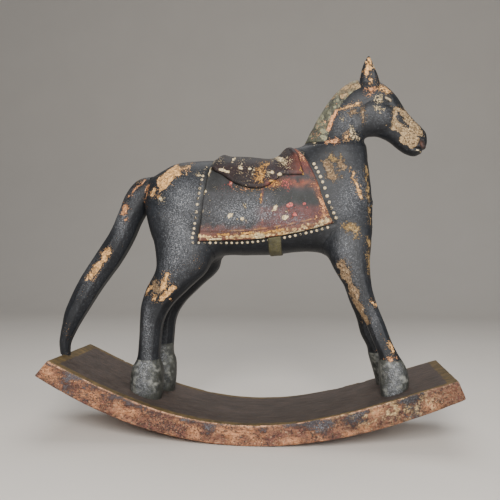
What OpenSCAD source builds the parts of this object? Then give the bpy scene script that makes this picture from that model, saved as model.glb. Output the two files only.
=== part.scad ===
// A carved wooden rocking horse on one curved board.
// Frame: X runs from tail to head, Z is up, the horse's left side is +Y.
// The origin is the lowest point of the board, where it touches the floor.
// All lengths are in millimetres.

/* [Rocker board] */
// Width of the curved board across the horse
board_w = 140; // [100:1:200]
// Thickness of the board at the middle
board_t = 25; // [15:0.5:40]
// Plan distance from the touching point to the rear end of the board
board_rear = 258; // [200:1:320]
// Plan distance from the touching point to the front end of the board
board_front = 250; // [200:1:320]
// Plan distance from the touching point to either end of the board's upper face
board_top = 241; // [190:1:310]
// Number of straight steps in each long curve of the board
board_steps = 57; // [24:1:96]

/* [Stance] */
// Half the distance between the two hind hooves
stance_rear = 26; // [20:0.5:40]
// Half the distance between the two front hooves
stance_front = 33; // [20:0.5:45]
// How far the left hind leg stands forward of the right one
left_hind_shift = 4.5; // [-10:0.5:15]
// How far the left front leg stands ahead of the right one
left_fore_shift = 2; // [-10:0.5:10]
// How far the left front leg bows forward above its hoof, against the right one
left_fore_bow = -12.5; // [-20:0.5:15]

/* [Cloth and saddle] */
// Thickness of the saddle cloth
cloth_t = 2.4; // [1:0.1:5]
// Thickness of the saddle pad on the cloth
seat_t = 2.6; // [1:0.1:6]
// Extra height of the rim at the back of the saddle pad
cantle_rise = 1.6; // [0:0.1:5]
// Thickness of the girth strap
girth_t = 1.8; // [1:0.1:4]
// Width of the girth strap
girth_w = 16; // [8:0.5:30]
// Thickness of the mane band on the crest of the neck
mane_t = 2.6; // [1:0.1:6]

/* [Bead trim] */
// Diameter of the beads in front of the cloth
bead_front_d = 4; // [3:0.1:8]
// Diameter of the beads under the cloth
bead_bottom_d = 3.4; // [2:0.1:8]
// Diameter of the beads behind the cloth
bead_rear_d = 3.7; // [2:0.1:8]
// Height of every bead dome
bead_h = 1.5; // [1:0.1:4]
// Distance between the middles of neighbouring beads
bead_pitch = 6.5; // [4:0.1:12]
// Distance from the front edge of the cloth to the beads
bead_front_gap = 6; // [3:0.5:12]
// Distance from the lower edge of the cloth to the beads
bead_bottom_gap = 3.4; // [2:0.1:12]
// Distance from the rear edge of the cloth to the beads
bead_rear_gap = 6.3; // [3:0.1:12]
// Number of beads in front of the cloth on each side
bead_front_n = 11; // [0:1:20]
// Number of beads behind the cloth on each side
bead_rear_n = 16; // [0:1:24]

/* [Hidden joints] */
// Diameter of the cross dowels through the tops of the legs
dowel_d = 8; // [5:0.5:12]
// Length of each cross dowel
dowel_l = 52; // [30:1:70]
// Diameter of the two dowels between the body block and the neck block
neck_dowel_d = 10; // [6:0.5:14]
// Length of each neck dowel
neck_dowel_l = 48; // [20:1:70]
// Diameter of the round tenon on the tail
tail_tenon_d = 14; // [8:0.5:20]
// Length of the round tenon on the tail
tail_tenon_l = 20; // [10:1:30]
// Diameter of the round tenon on each ear
ear_tenon_d = 4; // [3:0.5:6]
// Shank diameter of the screws from the board into the hooves
screw_d = 4; // [3:0.1:6]
// Length of those screws
screw_l = 42; // [30:1:60]
// Head diameter of those screws
screw_head_d = 8.4; // [6:0.1:12]
// Depth of the head below the underside of the board
screw_recess = 3; // [1:0.5:8]

/* [Hidden] */

paint = [0.17, 0.18, 0.2];
bare_wood = [0.72, 0.56, 0.4];
board_wood = [0.42, 0.25, 0.17];
maroon = [0.36, 0.14, 0.13];
ochre = [0.5, 0.4, 0.2];
ivory = [0.85, 0.8, 0.68];
steel = [0.55, 0.55, 0.56];
green = [0.27, 0.31, 0.22];

seam_z = 359;  // flat joint between the body block and the neck block
// Share of the cloth's height between neighbouring beads in front of it and behind it
bead_step = 0.045;
hoof_x_rear = -131;
hoof_x_front = 175;

// ---- curves of the board ----
function board_u(x) = x / 240;
function board_bottom_z(x) = let (u = board_u(x)) 64 * u * u - 4.5 * pow(u, 3) - 2.5 * pow(u, 4);
function board_top_z(x) = let (u = board_u(x)) board_t + 80 * u * u - 6.5 * pow(u, 3) - 17 * pow(u, 4);
function board_slope(x) = (board_bottom_z(x + 1) - board_bottom_z(x - 1)) / 2;

// ---- smooth lofts ----
// A station is [back x, back z, front x, front z, middle y, half width, roundness, egg].
// The back and front points are opposite ends of a cross-section; roundness 2 is an ellipse
// and more is squarer; egg widens the back end (positive) or the front end (negative).
function spow(a, p) = sign(a) * pow(abs(a), p);
function curve(a, b, c, d, f) =
  (2 * b + (c - a) * f + (2 * a - 5 * b + 4 * c - d) * f * f + (3 * b - a - 3 * c + d) * f * f * f) / 2;
function station(rows, s) =
  let (last = len(rows) - 1)
  let (i = max(0, min(floor(s), last - 1)))
  curve(rows[max(i - 1, 0)], rows[i], rows[i + 1], rows[min(i + 2, last)], s - i);
function on_loft(rows, s, angle) =
  let (r = station(rows, s))
  let (u = spow(cos(angle), 2 / r[6]))
  let (v = spow(sin(angle), 2 / r[6]))
  [(r[0] + r[2]) / 2 + (r[0] - r[2]) / 2 * u,
   r[4] + r[5] * v * (1 + r[7] * u),
   (r[1] + r[3]) / 2 + (r[1] - r[3]) / 2 * u];
function loft_normal(rows, s, angle) =
  let (ds = on_loft(rows, s + 0.02, angle) - on_loft(rows, s - 0.02, angle))
  let (da = on_loft(rows, s, angle + 1) - on_loft(rows, s, angle - 1))
  let (n = cross(ds, da))
  n / norm(n);
// The angle at which a station of the loft passes a height z, on the +Y side.
function angle_at_z(rows, s, z) =
  let (r = station(rows, s))
  let (u = (z - (r[1] + r[3]) / 2) / ((r[1] - r[3]) / 2))
  acos(max(-1, min(1, spow(u, r[6] / 2))));
// The station number at which the middle of a loft passes x.
function station_at_x(rows, x) =
  lookup(x, [for (i = [0 : len(rows) - 1]) [(rows[i][0] + rows[i][2]) / 2, i]]);
// The station number and the angle at which a leg passes the point (x, z).
function station_at_z(rows, z) = lookup(z, [for (i = [0 : len(rows) - 1]) [rows[i][1], i]]);
function angle_at_x(rows, s, x) =
  let (r = station(rows, s))
  let (u = (x - (r[0] + r[2]) / 2) / ((r[0] - r[2]) / 2))
  acos(max(-1, min(1, spow(u, r[6] / 2))));
// Stands a whole leg forward by dx, and bows it forward by bow around the pastern.
function posed(rows, dx, bow) =
  [for (r = rows)
    let (d = dx + bow * exp(-pow((r[1] - 118) / 45, 2)))
    [r[0] + d, r[1], r[2] + d, r[3], r[4], r[5], r[6], r[7]]];

// The side faces of a tube through n rings of m points each.
function tube_faces(n, m) = [for (k = [0 : n - 2]) for (i = [0 : m - 1])
  let (a = k * m + i)
  let (b = k * m + (i + 1) % m)
  each [[a, b, b + m], [a, b + m, a + m]]];

// A closed skin through convex rings.
module skin(rings) {
  m = len(rings[0]);
  n = len(rings);
  first = [for (i = [1 : m - 2]) [0, i + 1, i]];
  last = [for (i = [1 : m - 2]) [(n - 1) * m, (n - 1) * m + i, (n - 1) * m + i + 1]];
  polyhedron(points = [for (r = rings) each r], faces = concat(first, tube_faces(n, m), last));
}

module loft(rows, steps, around) {
  skin([for (k = [0 : steps * (len(rows) - 1)])
    [for (i = [0 : around - 1]) on_loft(rows, k / steps, 360 * i / around)]]);
}

// A pad on a grid of surface points and their normals, with a thickness for each row.
// Each ring is the upper line followed by the lower line backwards, so its end is closed
// by a strip between the two lines.
module pad(points, normals, lift, thick) {
  n = len(points);
  m = len(points[0]);
  rings = [for (i = [0 : n - 1]) concat(
    [for (j = [0 : m - 1]) points[i][j] + normals[i][j] * (lift + thick[i])],
    [for (j = [m - 1 : -1 : 0]) points[i][j] + normals[i][j] * lift])];
  far = (n - 1) * 2 * m;
  first = [for (j = [0 : m - 2]) each
    [[j, 2 * m - 2 - j, j + 1], [j, 2 * m - 1 - j, 2 * m - 2 - j]]];
  last = [for (f = first) [far + f[0], far + f[2], far + f[1]]];
  polyhedron(points = [for (r = rings) each r],
    faces = concat(first, tube_faces(n, 2 * m), last));
}

// ---- stations of the carved blocks ----
torso_rows = [
  [-129, 323, -137, 283, 0, 17, 2.3, 0],
  [-122, 326.5, -132, 262, 0, 28, 2.3, 0],
  [-112, 332, -124, 238, 0, 36.5, 2.3, 0],
  [-99, 338.5, -112, 221, 0, 42, 2.3, 0],
  [-82, 342, -92, 211, 0, 45, 2.3, 0],
  [-60, 343, -64, 213, 0, 46, 2.3, 0],
  [-34, 343, -34, 222, 0, 45.5, 2.35, 0],
  [-4, 342, -4, 222, 0, 44.5, 2.35, 0],
  [30, 340, 30, 223, 0, 43, 2.35, -0.03],
  [52, 356, 52, 225.5, 0, 42, 2.35, -0.06],
  [72, 365, 72, 226.5, 0, 40.5, 2.35, -0.08],
  [94, 375, 94, 224, 0, 38.5, 2.35, -0.08],
  [114, 378, 115, 218, 0, 36.5, 2.4, -0.06],
  [129, 376, 131.5, 218, 0, 33.5, 2.4, -0.04],
  [139.5, 370, 142.5, 224, 0, 28.5, 2.4, 0],
  [144.5, 345, 147.5, 236, 0, 23, 2.4, 0],
  [148.5, 318, 150, 248, 0, 17.5, 2.4, 0],
  [151, 300, 151.5, 264, 0, 10, 2.3, 0]];

neck_rows = [
  [68, 359, 140, 359, 0, 25.5, 2.3, -0.12],
  [79, 380, 140.5, 362.5, 0, 22.5, 2.3, -0.16],
  [90.5, 400, 141.5, 366, 0, 20, 2.3, -0.18],
  [105.5, 421, 143, 368.5, 0, 18.3, 2.3, -0.16],
  [122, 435, 146, 370, 0, 17.6, 2.3, -0.1],
  [139, 440.5, 151, 370.5, 0, 18, 2.3, 0],
  [155, 440, 158, 370, 0, 19, 2.3, 0.03],
  [169, 431.5, 166, 367, 0, 19, 2.35, 0.03],
  [181, 419.5, 174, 362, 0, 17.3, 2.35, 0.02],
  [191, 404, 182, 355, 0, 14.5, 2.3, 0],
  [202, 390, 191, 348.5, 0, 12.8, 2.3, 0],
  [211, 380.5, 201, 345, 0, 12, 2.3, 0],
  [216.5, 373, 207.5, 346.5, 0, 10.8, 2.3, 0],
  [218, 364, 213, 351.5, 0, 7, 2.1, 0]];

hind_rows = [
  [-145.5, 36, -114, 36, 26, 16.5, 2.2, 0],
  [-149.5, 50, -110.5, 50, 26, 18.5, 2.2, 0],
  [-150, 66, -109, 66, 26, 19.5, 2.2, 0],
  [-147.5, 82, -109.5, 82, 26, 18.5, 2.2, 0],
  [-141.5, 94, -113, 94, 26, 15.3, 2.2, 0],
  [-139, 116, -112, 116, 26, 14.5, 2.3, 0],
  [-137.5, 140, -108.5, 140, 26, 15, 2.3, 0],
  [-135.5, 160, -97, 160, 26.5, 16.5, 2.35, 0],
  [-128.5, 181, -75.5, 181, 27, 19, 2.4, 0],
  [-117, 204, -52, 204, 27.5, 21.5, 2.4, 0],
  [-117, 228, -50, 228, 28, 21.5, 2.4, 0],
  [-122, 252, -60, 252, 28, 20, 2.4, 0],
  [-127, 274, -72, 274, 27.5, 17.5, 2.4, 0],
  [-125, 289, -84, 289, 25.5, 11.5, 2.4, 0]];

fore_rows = [
  [161, 44, 182, 44, 33, 14, 2.2, 0],
  [158.5, 60, 188.5, 60, 33, 16.5, 2.2, 0],
  [157, 76, 191.5, 76, 33, 17, 2.2, 0],
  [156, 92, 187, 92, 33, 15.2, 2.2, 0],
  [156, 104, 179.5, 104, 32.5, 12.7, 2.2, 0],
  [149.5, 120, 171.5, 120, 32, 12.3, 2.3, 0],
  [140.5, 142, 163, 142, 31, 12.7, 2.3, 0],
  [126.5, 164, 154.5, 164, 29, 14.5, 2.35, 0],
  [116, 185, 149, 185, 27, 16.5, 2.4, 0],
  [102, 209, 147, 209, 25, 18.5, 2.4, 0],
  [95, 232, 147.5, 232, 23.5, 18.5, 2.4, 0],
  [99, 251, 148, 251, 22.5, 16.5, 2.4, 0],
  [105, 266, 147.5, 266, 21, 12.5, 2.4, 0],
  [113, 280, 146.5, 280, 19, 7, 2.4, 0]];

tail_rows = [
  [-247.5, 95.5, -235.5, 91, -15, 7, 2.4, 0],
  [-248.5, 112, -235, 107.5, -15, 9, 2.5, 0],
  [-245, 133, -227.5, 126, -13, 11.5, 2.5, 0],
  [-240, 155, -216.5, 145, -10.5, 13.5, 2.5, 0],
  [-224, 190, -199, 174, -7, 15.5, 2.5, 0],
  [-201.5, 226, -173.5, 210, -4, 16.5, 2.5, 0],
  [-185, 252, -156, 240, -2, 17, 2.5, 0],
  [-172.5, 280, -146.5, 262, -1, 17.5, 2.5, 0],
  [-163, 303, -140.5, 273, 0, 17.5, 2.5, 0],
  [-148, 320, -138, 280, 0, 17.5, 2.4, 0],
  [-129, 324, -137, 283, 0, 17, 2.3, 0]];

ear_rows = [
  [136, 434, 158, 432, 0, 4.5, 2.2, 0],
  [136.5, 441, 159, 437, 0, 5, 2.2, 0],
  [138, 451, 156.5, 446, 0, 4.6, 2.2, 0],
  [141.5, 461, 152, 457, 0, 3.2, 2.2, 0],
  [145.5, 467.5, 147.5, 467, 0, 0.8, 2, 0]];

// ---- rocker board ----
module board_blank() {
  top_line = [for (i = [0 : board_steps])
    let (x = -board_top + 2 * board_top * i / board_steps) [x, board_top_z(x)]];
  bottom_line = [for (i = [0 : board_steps])
    let (x = board_front - (board_front + board_rear) * i / board_steps) [x, board_bottom_z(x)]];
  translate([0, board_w / 2, 0])
    rotate([90, 0, 0])
      linear_extrude(board_w)
        polygon(concat(top_line, bottom_line));
}

// Places its children on the underside of the board below one hoof, square to the curve.
module below_hoof(x, y) {
  translate([x, y, board_bottom_z(x)])
    rotate([0, -atan(board_slope(x)), 0])
      children();
}

module at_each_hoof() {
  for (side = [-1, 1]) {
    below_hoof(hoof_x_rear + (side > 0 ? left_hind_shift : 0), side * stance_rear) children();
    below_hoof(hoof_x_front, side * stance_front) children();
  }
}

module screw_bore() {
  translate([0, 0, -1]) cylinder(d = screw_head_d + 1, h = 1 + screw_recess, $fn = 32);
  translate([0, 0, screw_recess - 0.01])
    cylinder(d1 = screw_head_d + 0.4, d2 = screw_d + 0.4, h = 3.01, $fn = 32);
  cylinder(d = screw_d + 0.4, h = 60, $fn = 32);
}

module rocker_board() {
  color(board_wood)
    difference() {
      board_blank();
      at_each_hoof() screw_bore();
    }
}

module hoof_screw() {
  difference() {
    translate([0, 0, screw_recess]) {
      cylinder(d1 = screw_head_d, d2 = screw_d, h = 3, $fn = 32);
      cylinder(d = screw_d, h = screw_l, $fn = 32);
    }
    translate([-screw_head_d, -0.45, screw_recess - 1]) cube([2 * screw_head_d, 0.9, 2]);
  }
}

module hoof_screws() {
  color(steel) at_each_hoof() hoof_screw();
}

// ---- body, neck and head ----
module at_cross_dowels() {
  for (p = [[-88, 252], [-104, 232], [126, 250], [114, 230]])
    translate([p[0], 0, p[1]]) rotate([90, 0, 0]) children();
}

module leg_dowels() {
  color(bare_wood) at_cross_dowels() cylinder(d = dowel_d, h = dowel_l, center = true, $fn = 32);
}

module at_neck_dowels() {
  for (x = [90, 121]) translate([x, 0, seam_z]) children();
}

module neck_dowels() {
  color(bare_wood)
    at_neck_dowels() cylinder(d = neck_dowel_d, h = neck_dowel_l, center = true, $fn = 32);
}

// The tail's tenon runs square to the joint on the rump.
module at_tail_joint() {
  translate([-133, 0, 303.5]) rotate([0, 101, 0]) children();
}

module torso() {
  color(paint)
    difference() {
      loft(torso_rows, 3, 36);
      translate([40, -60, seam_z]) cube([130, 120, 60]);
      hind_leg_block(left_hind_shift, 1);
      hind_leg_block(0, -1);
      fore_leg_block(left_fore_bow, 1);
      fore_leg_block(0, -1);
      at_cross_dowels() cylinder(d = dowel_d, h = dowel_l, center = true, $fn = 32);
      at_neck_dowels() cylinder(d = neck_dowel_d, h = neck_dowel_l, center = true, $fn = 32);
      at_tail_joint() cylinder(d = tail_tenon_d, h = 2 * tail_tenon_l, center = true, $fn = 32);
    }
}

module ear_tenon(side) {
  translate([146, side * 12, 422]) cylinder(d = ear_tenon_d, h = 22, $fn = 24);
}

module neck_head() {
  color(paint)
    difference() {
      loft(neck_rows, 3, 32);
      at_neck_dowels() cylinder(d = neck_dowel_d, h = neck_dowel_l, center = true, $fn = 32);
      ear_tenon(1);
      ear_tenon(-1);
    }
}

module ear(side) {
  color(paint)
    union() {
      difference() {
        translate([0, side * 12, 0]) loft(ear_rows, 3, 16);
        loft(neck_rows, 3, 32);
      }
      ear_tenon(side);
    }
}

// ---- legs ----
module hind_leg_block(dx, side) {
  mirror([0, side > 0 ? 0 : 1, 0]) loft(posed(hind_rows, dx, 0), 2, 28);
}

module fore_leg_block(bow, side) {
  mirror([0, side > 0 ? 0 : 1, 0]) loft(posed(fore_rows, side > 0 ? left_fore_shift : 0, bow), 2, 28);
}

module leg_bores() {
  at_cross_dowels() cylinder(d = dowel_d, h = dowel_l, center = true, $fn = 32);
  at_each_hoof() translate([0, 0, screw_recess]) cylinder(d = screw_d, h = screw_l, $fn = 32);
}

module hind_leg(dx, side) {
  color(paint)
    difference() {
      hind_leg_block(dx, side);
      board_blank();
      leg_bores();
    }
}

module fore_leg(bow, side) {
  color(paint)
    difference() {
      fore_leg_block(bow, side);
      board_blank();
      leg_bores();
    }
}

// ---- tail ----
module tail() {
  color(paint)
    union() {
      difference() {
        loft(tail_rows, 3, 28);
        board_blank();
      }
      at_tail_joint() cylinder(d = tail_tenon_d, h = tail_tenon_l, $fn = 32);
    }
}

// ---- coverings that follow the body ----
// The legs whose blocks stand out under the coverings on one side.
function legs_on(side) = side < 0
  ? [hind_rows, fore_rows]
  : [posed(hind_rows, left_hind_shift, 0), posed(fore_rows, left_fore_shift, left_fore_bow)];

// The outermost leg surface at (x, z) on the +Y side, as [point, normal], or nothing there.
function leg_surface(x, z, side) =
  [for (rows = legs_on(side))
    let (s = station_at_z(rows, z))
    let (r = station(rows, s))
    if (z < rows[len(rows) - 1][1] && x > r[0] && x < r[2])
      let (a = angle_at_x(rows, s, x))
      [on_loft(rows, s, a), loft_normal(rows, s, a)]];

// A point on the torso, moved out to the leg block where that stands further out.
function over_leg(p, side) =
  let (legs = leg_surface(p[0], p[2], side))
  let (reach = max(concat([abs(p[1])], [for (leg = legs) leg[0][1]])))
  [p[0], abs(p[1]) < 1 ? p[1] : sign(p[1]) * reach, p[2]];

// Cloth edges, by q = 0 over the spine and q = 1 at the lower edge.
function cloth_rear_x(q) = -41.8 - 18.8 * q;
function cloth_front_x(q) = 46 + 56.5 * pow(q, 1.03);
function cloth_low_z(x) = 241 + 20 * pow(max(0, (x + 15) / 117), 1.7);

function cloth_angle(s, x, q) = q * angle_at_z(torso_rows, s, cloth_low_z(x));

function cloth_x(p, q) = cloth_rear_x(q) * (1 - p) + cloth_front_x(q) * p;

module saddle_cloth() {
  n = 14;
  m = 28;
  grid = [for (i = [0 : n]) [for (j = [-m / 2 : m / 2])
    let (q = abs(j) / (m / 2))
    let (x = cloth_x(i / n, q))
    let (s = station_at_x(torso_rows, x))
    [s, sign(j) * cloth_angle(s, x, q)]]];
  color(maroon)
    pad([for (row = grid) [for (g = row) over_leg(on_loft(torso_rows, g[0], g[1]), sign(g[1]))]],
        [for (row = grid) [for (g = row) loft_normal(torso_rows, g[0], g[1])]],
        0.1, [for (row = grid) cloth_t]);
}

// Lower edge of the saddle pad: one scallop, steeper in front, rising to the rear corner.
function seat_low_z(x) =
  318 - 16 * max(0, 1 - pow((x - 10) / (x < 10 ? 40 : 30), 2)) + 0.5 * max(0, -30 - x);
function seat_rear_x(q) = -35 - 11 * q;
function seat_front_x(q) = 42 + 26 * pow(q, 0.7);

module saddle_seat() {
  n = 12;
  m = 20;
  grid = [for (i = [0 : n]) [for (j = [-m / 2 : m / 2])
    let (q = abs(j) / (m / 2))
    let (x = seat_rear_x(q) * (1 - i / n) + seat_front_x(q) * i / n)
    let (s = station_at_x(torso_rows, x))
    [s, sign(j) * q * angle_at_z(torso_rows, s, seat_low_z(x))]]];
  color(maroon)
    pad([for (row = grid) [for (g = row) on_loft(torso_rows, g[0], g[1])]],
        [for (row = grid) [for (g = row) loft_normal(torso_rows, g[0], g[1])]],
        0.15 + cloth_t, [for (i = [0 : n]) seat_t + (i < 2 ? cantle_rise : 0)]);
}

module girth_strap() {
  n = 3;
  m = 24;
  low = [for (i = [0 : n]) let (x = 31 + girth_w * (i / n - 0.5))
    let (s = station_at_x(torso_rows, x))
    [s, angle_at_z(torso_rows, s, cloth_low_z(x) - 0.4)]];
  grid = [for (g = low) [for (j = [0 : m]) [g[0], g[1] + (360 - 2 * g[1]) * j / m]]];
  color(ochre)
    pad([for (row = grid) [for (g = row) on_loft(torso_rows, g[0], g[1])]],
        [for (row = grid) [for (g = row) loft_normal(torso_rows, g[0], g[1])]],
        0.1, [for (row = grid) girth_t]);
}

// The mane is a raised band over the crest of the neck.
module mane() {
  n = 12;
  m = 10;
  grid = [for (i = [0 : n]) [for (j = [-m / 2 : m / 2])
    let (s = 0.15 + 4.6 * i / n)
    [s, 76 * (1 - 0.35 * i / n) * j / (m / 2)]]];
  color(green)
    pad([for (row = grid) [for (g = row) on_loft(neck_rows, g[0], g[1])]],
        [for (row = grid) [for (g = row) loft_normal(neck_rows, g[0], g[1])]],
        0.1, [for (row = grid) mane_t]);
}

// ---- bead trim ----
module bead(d) {
  r = (d * d / 4 + bead_h * bead_h) / (2 * bead_h);
  rotate_extrude($fn = 20)
    intersection() {
      translate([0, bead_h - r]) circle(r = r, $fn = 64);
      square([d, d]);
    }
}

module bead_on(p, n, d) {
  translate(p)
    rotate([0, acos(n[2]), atan2(n[1], n[0])])
      bead(d);
}

// A bead at (x, z) on each side, on the torso or on the leg block that stands out from it.
module bead_pair(x, z, d) {
  s = station_at_x(torso_rows, x);
  a = angle_at_z(torso_rows, s, z);
  on_torso = [on_loft(torso_rows, s, a), loft_normal(torso_rows, s, a)];
  for (side = [-1, 1]) {
    outer = [for (leg = leg_surface(x, z, side)) if (leg[0][1] > on_torso[0][1]) leg];
    place = len(outer) > 0 ? outer[0] : on_torso;
    mirror([0, side > 0 ? 0 : 1, 0]) bead_on(place[0], place[1], d);
  }
}

// The point of the cloth edge at q, on the edge line x.
function cloth_edge(x, q) =
  let (s = station_at_x(torso_rows, x))
  on_loft(torso_rows, s, cloth_angle(s, x, q));

module beads_front() {
  color(ivory)
    for (k = [0 : bead_front_n - 1]) {
      edge = cloth_edge(cloth_front_x(0.5 + bead_step * k), 0.5 + bead_step * k);
      bead_pair(edge[0] + bead_front_gap, edge[2], bead_front_d);
    }
}

module beads_bottom() {
  color(ivory)
    for (x = [-66.5 : bead_pitch : 99]) bead_pair(x, cloth_low_z(x) - bead_bottom_gap, bead_bottom_d);
}

module beads_rear() {
  color(ivory)
    for (k = [0 : bead_rear_n - 1]) {
      edge = cloth_edge(cloth_rear_x(0.3 + bead_step * k), 0.3 + bead_step * k);
      bead_pair(edge[0] - bead_rear_gap, edge[2], bead_rear_d);
    }
}

rocker_board();
torso();
neck_head();
fore_leg(left_fore_bow, 1);  // leg_front_left
fore_leg(0, -1);  // leg_front_right
hind_leg(left_hind_shift, 1);  // leg_rear_left
hind_leg(0, -1);  // leg_rear_right
tail();
ear(1);  // ear_left
ear(-1);  // ear_right
mane();
saddle_cloth();
saddle_seat();
girth_strap();
beads_front();
beads_bottom();
beads_rear();
leg_dowels();
neck_dowels();
hoof_screws();
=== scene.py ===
"""The looks of a carved and painted rocking horse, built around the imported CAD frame.

Each carved block is made again as a fine mesh from the same stations as the CAD part, then
sculpted: creases between glued blocks are filled, the face is carved, and worn patches are cut
back by the thickness of the paint. The cloth, seat, girth and mane are pads over the blocks.
Painted meshes carry fields that the node materials read: "bare" is the distance in mm inside a
worn patch and "layer" inside the second colour, "coat", "coat2" and "core" are the colours of
the paint, the second colour and what is under them, and "scuff" and "chips" are amounts.
Lengths are in millimetres until a mesh is made.
"""
import math

import bpy
import numpy as np
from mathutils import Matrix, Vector
from mathutils.bvhtree import BVHTree
from mathutils.kdtree import KDTree


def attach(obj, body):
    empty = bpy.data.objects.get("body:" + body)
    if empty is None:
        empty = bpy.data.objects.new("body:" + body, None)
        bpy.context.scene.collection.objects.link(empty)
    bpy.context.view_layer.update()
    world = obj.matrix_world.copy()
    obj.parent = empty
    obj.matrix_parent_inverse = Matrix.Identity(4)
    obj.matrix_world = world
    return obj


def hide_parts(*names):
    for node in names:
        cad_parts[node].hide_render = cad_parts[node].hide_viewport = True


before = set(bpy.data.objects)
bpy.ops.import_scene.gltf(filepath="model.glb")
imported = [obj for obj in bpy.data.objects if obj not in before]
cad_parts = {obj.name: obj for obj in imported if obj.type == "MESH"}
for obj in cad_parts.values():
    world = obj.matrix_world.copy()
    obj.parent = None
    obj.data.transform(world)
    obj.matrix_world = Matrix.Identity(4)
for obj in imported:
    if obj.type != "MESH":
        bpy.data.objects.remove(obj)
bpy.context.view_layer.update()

MM = 0.001
NEAR, FAR = -1, 1  # the horse's right side faces the camera and is -Y


# ---------------------------------------------------------------- colours
def linear(red, green, blue):
    """A screen colour, 0 to 255, as linear light."""
    values = np.array([red, green, blue]) / 255.0
    return np.where(values <= 0.04045, values / 12.92, ((values + 0.055) / 1.055) ** 2.4)


BLUE_BLACK = linear(21, 23, 27)
SCUFFED = linear(74, 76, 81)
TAN = linear(255, 198, 128)
PEACH = linear(238, 170, 118)
UMBER = linear(146, 122, 94)
CREAM = linear(242, 222, 178)
OCHRE = linear(166, 138, 90)
GOLD = linear(222, 164, 82)
KHAKI = linear(178, 152, 114)
PINK = linear(206, 104, 104)
HOOF = linear(50, 51, 46)


# ---------------------------------------------------------------- random fields
def lattice(ix, iy, iz, seed):
    """A repeatable random number from 0 to 1 for each whole-numbered point."""
    h = (ix * 374761393 + iy * 668265263 + iz * 1442695041 + seed * 1013904223) & 0xFFFFFFFF
    h = ((h ^ (h >> 13)) * 1274126177) & 0xFFFFFFFF
    return ((h ^ (h >> 16)) & 0xFFFFFFFF) / 4294967296.0


def noise(points, size, seed=0):
    """A smooth random field from -1 to 1 with lumps about `size` across."""
    q = np.asarray(points, float) / size + 500.0
    cell = np.floor(q).astype(np.int64)
    f = q - cell
    f = f * f * (3 - 2 * f)
    total = np.zeros(q.shape[:-1])
    for corner in np.ndindex(2, 2, 2):
        weight = np.prod([f[..., k] if corner[k] else 1 - f[..., k] for k in range(3)], axis=0)
        total += weight * lattice(*(cell[..., k] + corner[k] for k in range(3)), seed)
    return 2 * total - 1


def rough(points, size, octaves=3, seed=0):
    """Noise with finer octaves added."""
    return sum(noise(points, size / 2**k, seed + 17 * k) / 2**k for k in range(octaves))


def bell(value, middle, width):
    """1 at the middle, falling evenly to nothing within a few widths."""
    return np.exp(-(((value - middle) / width) ** 2))


def smooth(value, low, high):
    """0 below low, 1 above high, and an even curve between."""
    t = np.clip((value - low) / (high - low), 0, 1)
    return t * t * (3 - 2 * t)


def tinted(base, colour, share):
    """Colours with a share of another colour, or of other colours, laid over them."""
    share = np.clip(share, 0, 1)[:, None]
    return base * (1 - share) + colour * share


def shaded(base, amount):
    return base * (1 - amount)[:, None]


# ---------------------------------------------------------------- curves and lofts
# The factors of these two curves and the board's thickness are the rounded results of a fit by
# another program, as in the CAD part.
BOARD_UNIT, BOARD_THICK = 240, 25


def board_bottom_z(x):
    u = x / BOARD_UNIT
    return 64 * u**2 - 4.5 * u**3 - 2.5 * u**4


def board_top_z(x):
    u = x / BOARD_UNIT
    return BOARD_THICK + 80 * u**2 - 6.5 * u**3 - 17 * u**4


def station(rows, s):
    """The cross-section at station number s, on a smooth curve through the rows."""
    last = len(rows) - 1
    i = np.clip(np.floor(s).astype(int), 0, last - 1)
    f = (s - i)[..., None]
    a, b = rows[np.maximum(i - 1, 0)], rows[i]
    c, d = rows[i + 1], rows[np.minimum(i + 2, last)]
    bend = (2 * a - 5 * b + 4 * c - d) * f**2 + (3 * b - a - 3 * c + d) * f**3
    return (2 * b + (c - a) * f + bend) / 2


def power(value, exponent):
    return np.sign(value) * np.abs(value) ** exponent


def on_loft(rows, s, angle):
    """Points on a loft. Rows hold back x, back z, front x, front z, middle y, half width,
    roundness and egg; the angle is in degrees from the back line towards +Y."""
    s, angle = np.broadcast_arrays(np.asarray(s, float), np.asarray(angle, float))
    r = station(rows, s)
    turn = np.radians(angle)
    u = power(np.cos(turn), 2 / r[..., 6])
    v = power(np.sin(turn), 2 / r[..., 6])
    return np.stack([
        (r[..., 0] + r[..., 2]) / 2 + (r[..., 0] - r[..., 2]) / 2 * u,
        r[..., 4] + r[..., 5] * v * (1 + r[..., 7] * u),
        (r[..., 1] + r[..., 3]) / 2 + (r[..., 1] - r[..., 3]) / 2 * u,
    ], -1)


def unit(vectors):
    return vectors / np.maximum(np.linalg.norm(vectors, axis=-1, keepdims=True), 1e-9)


def loft_normal(rows, s, angle):
    along = on_loft(rows, s + 0.02, angle) - on_loft(rows, s - 0.02, angle)
    around = on_loft(rows, s, angle + 1.0) - on_loft(rows, s, angle - 1.0)
    return unit(np.cross(along, around))


def angle_at_z(rows, s, z):
    """The angle at which the station passes the height z, on the +Y side."""
    r = station(rows, s)
    u = (z - (r[..., 1] + r[..., 3]) / 2) / ((r[..., 1] - r[..., 3]) / 2)
    return np.degrees(np.arccos(np.clip(power(u, r[..., 6] / 2), -1, 1)))


def station_at_x(rows, x):
    middles = (rows[:, 0] + rows[:, 2]) / 2
    return np.interp(x, middles, np.arange(len(rows)))
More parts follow.
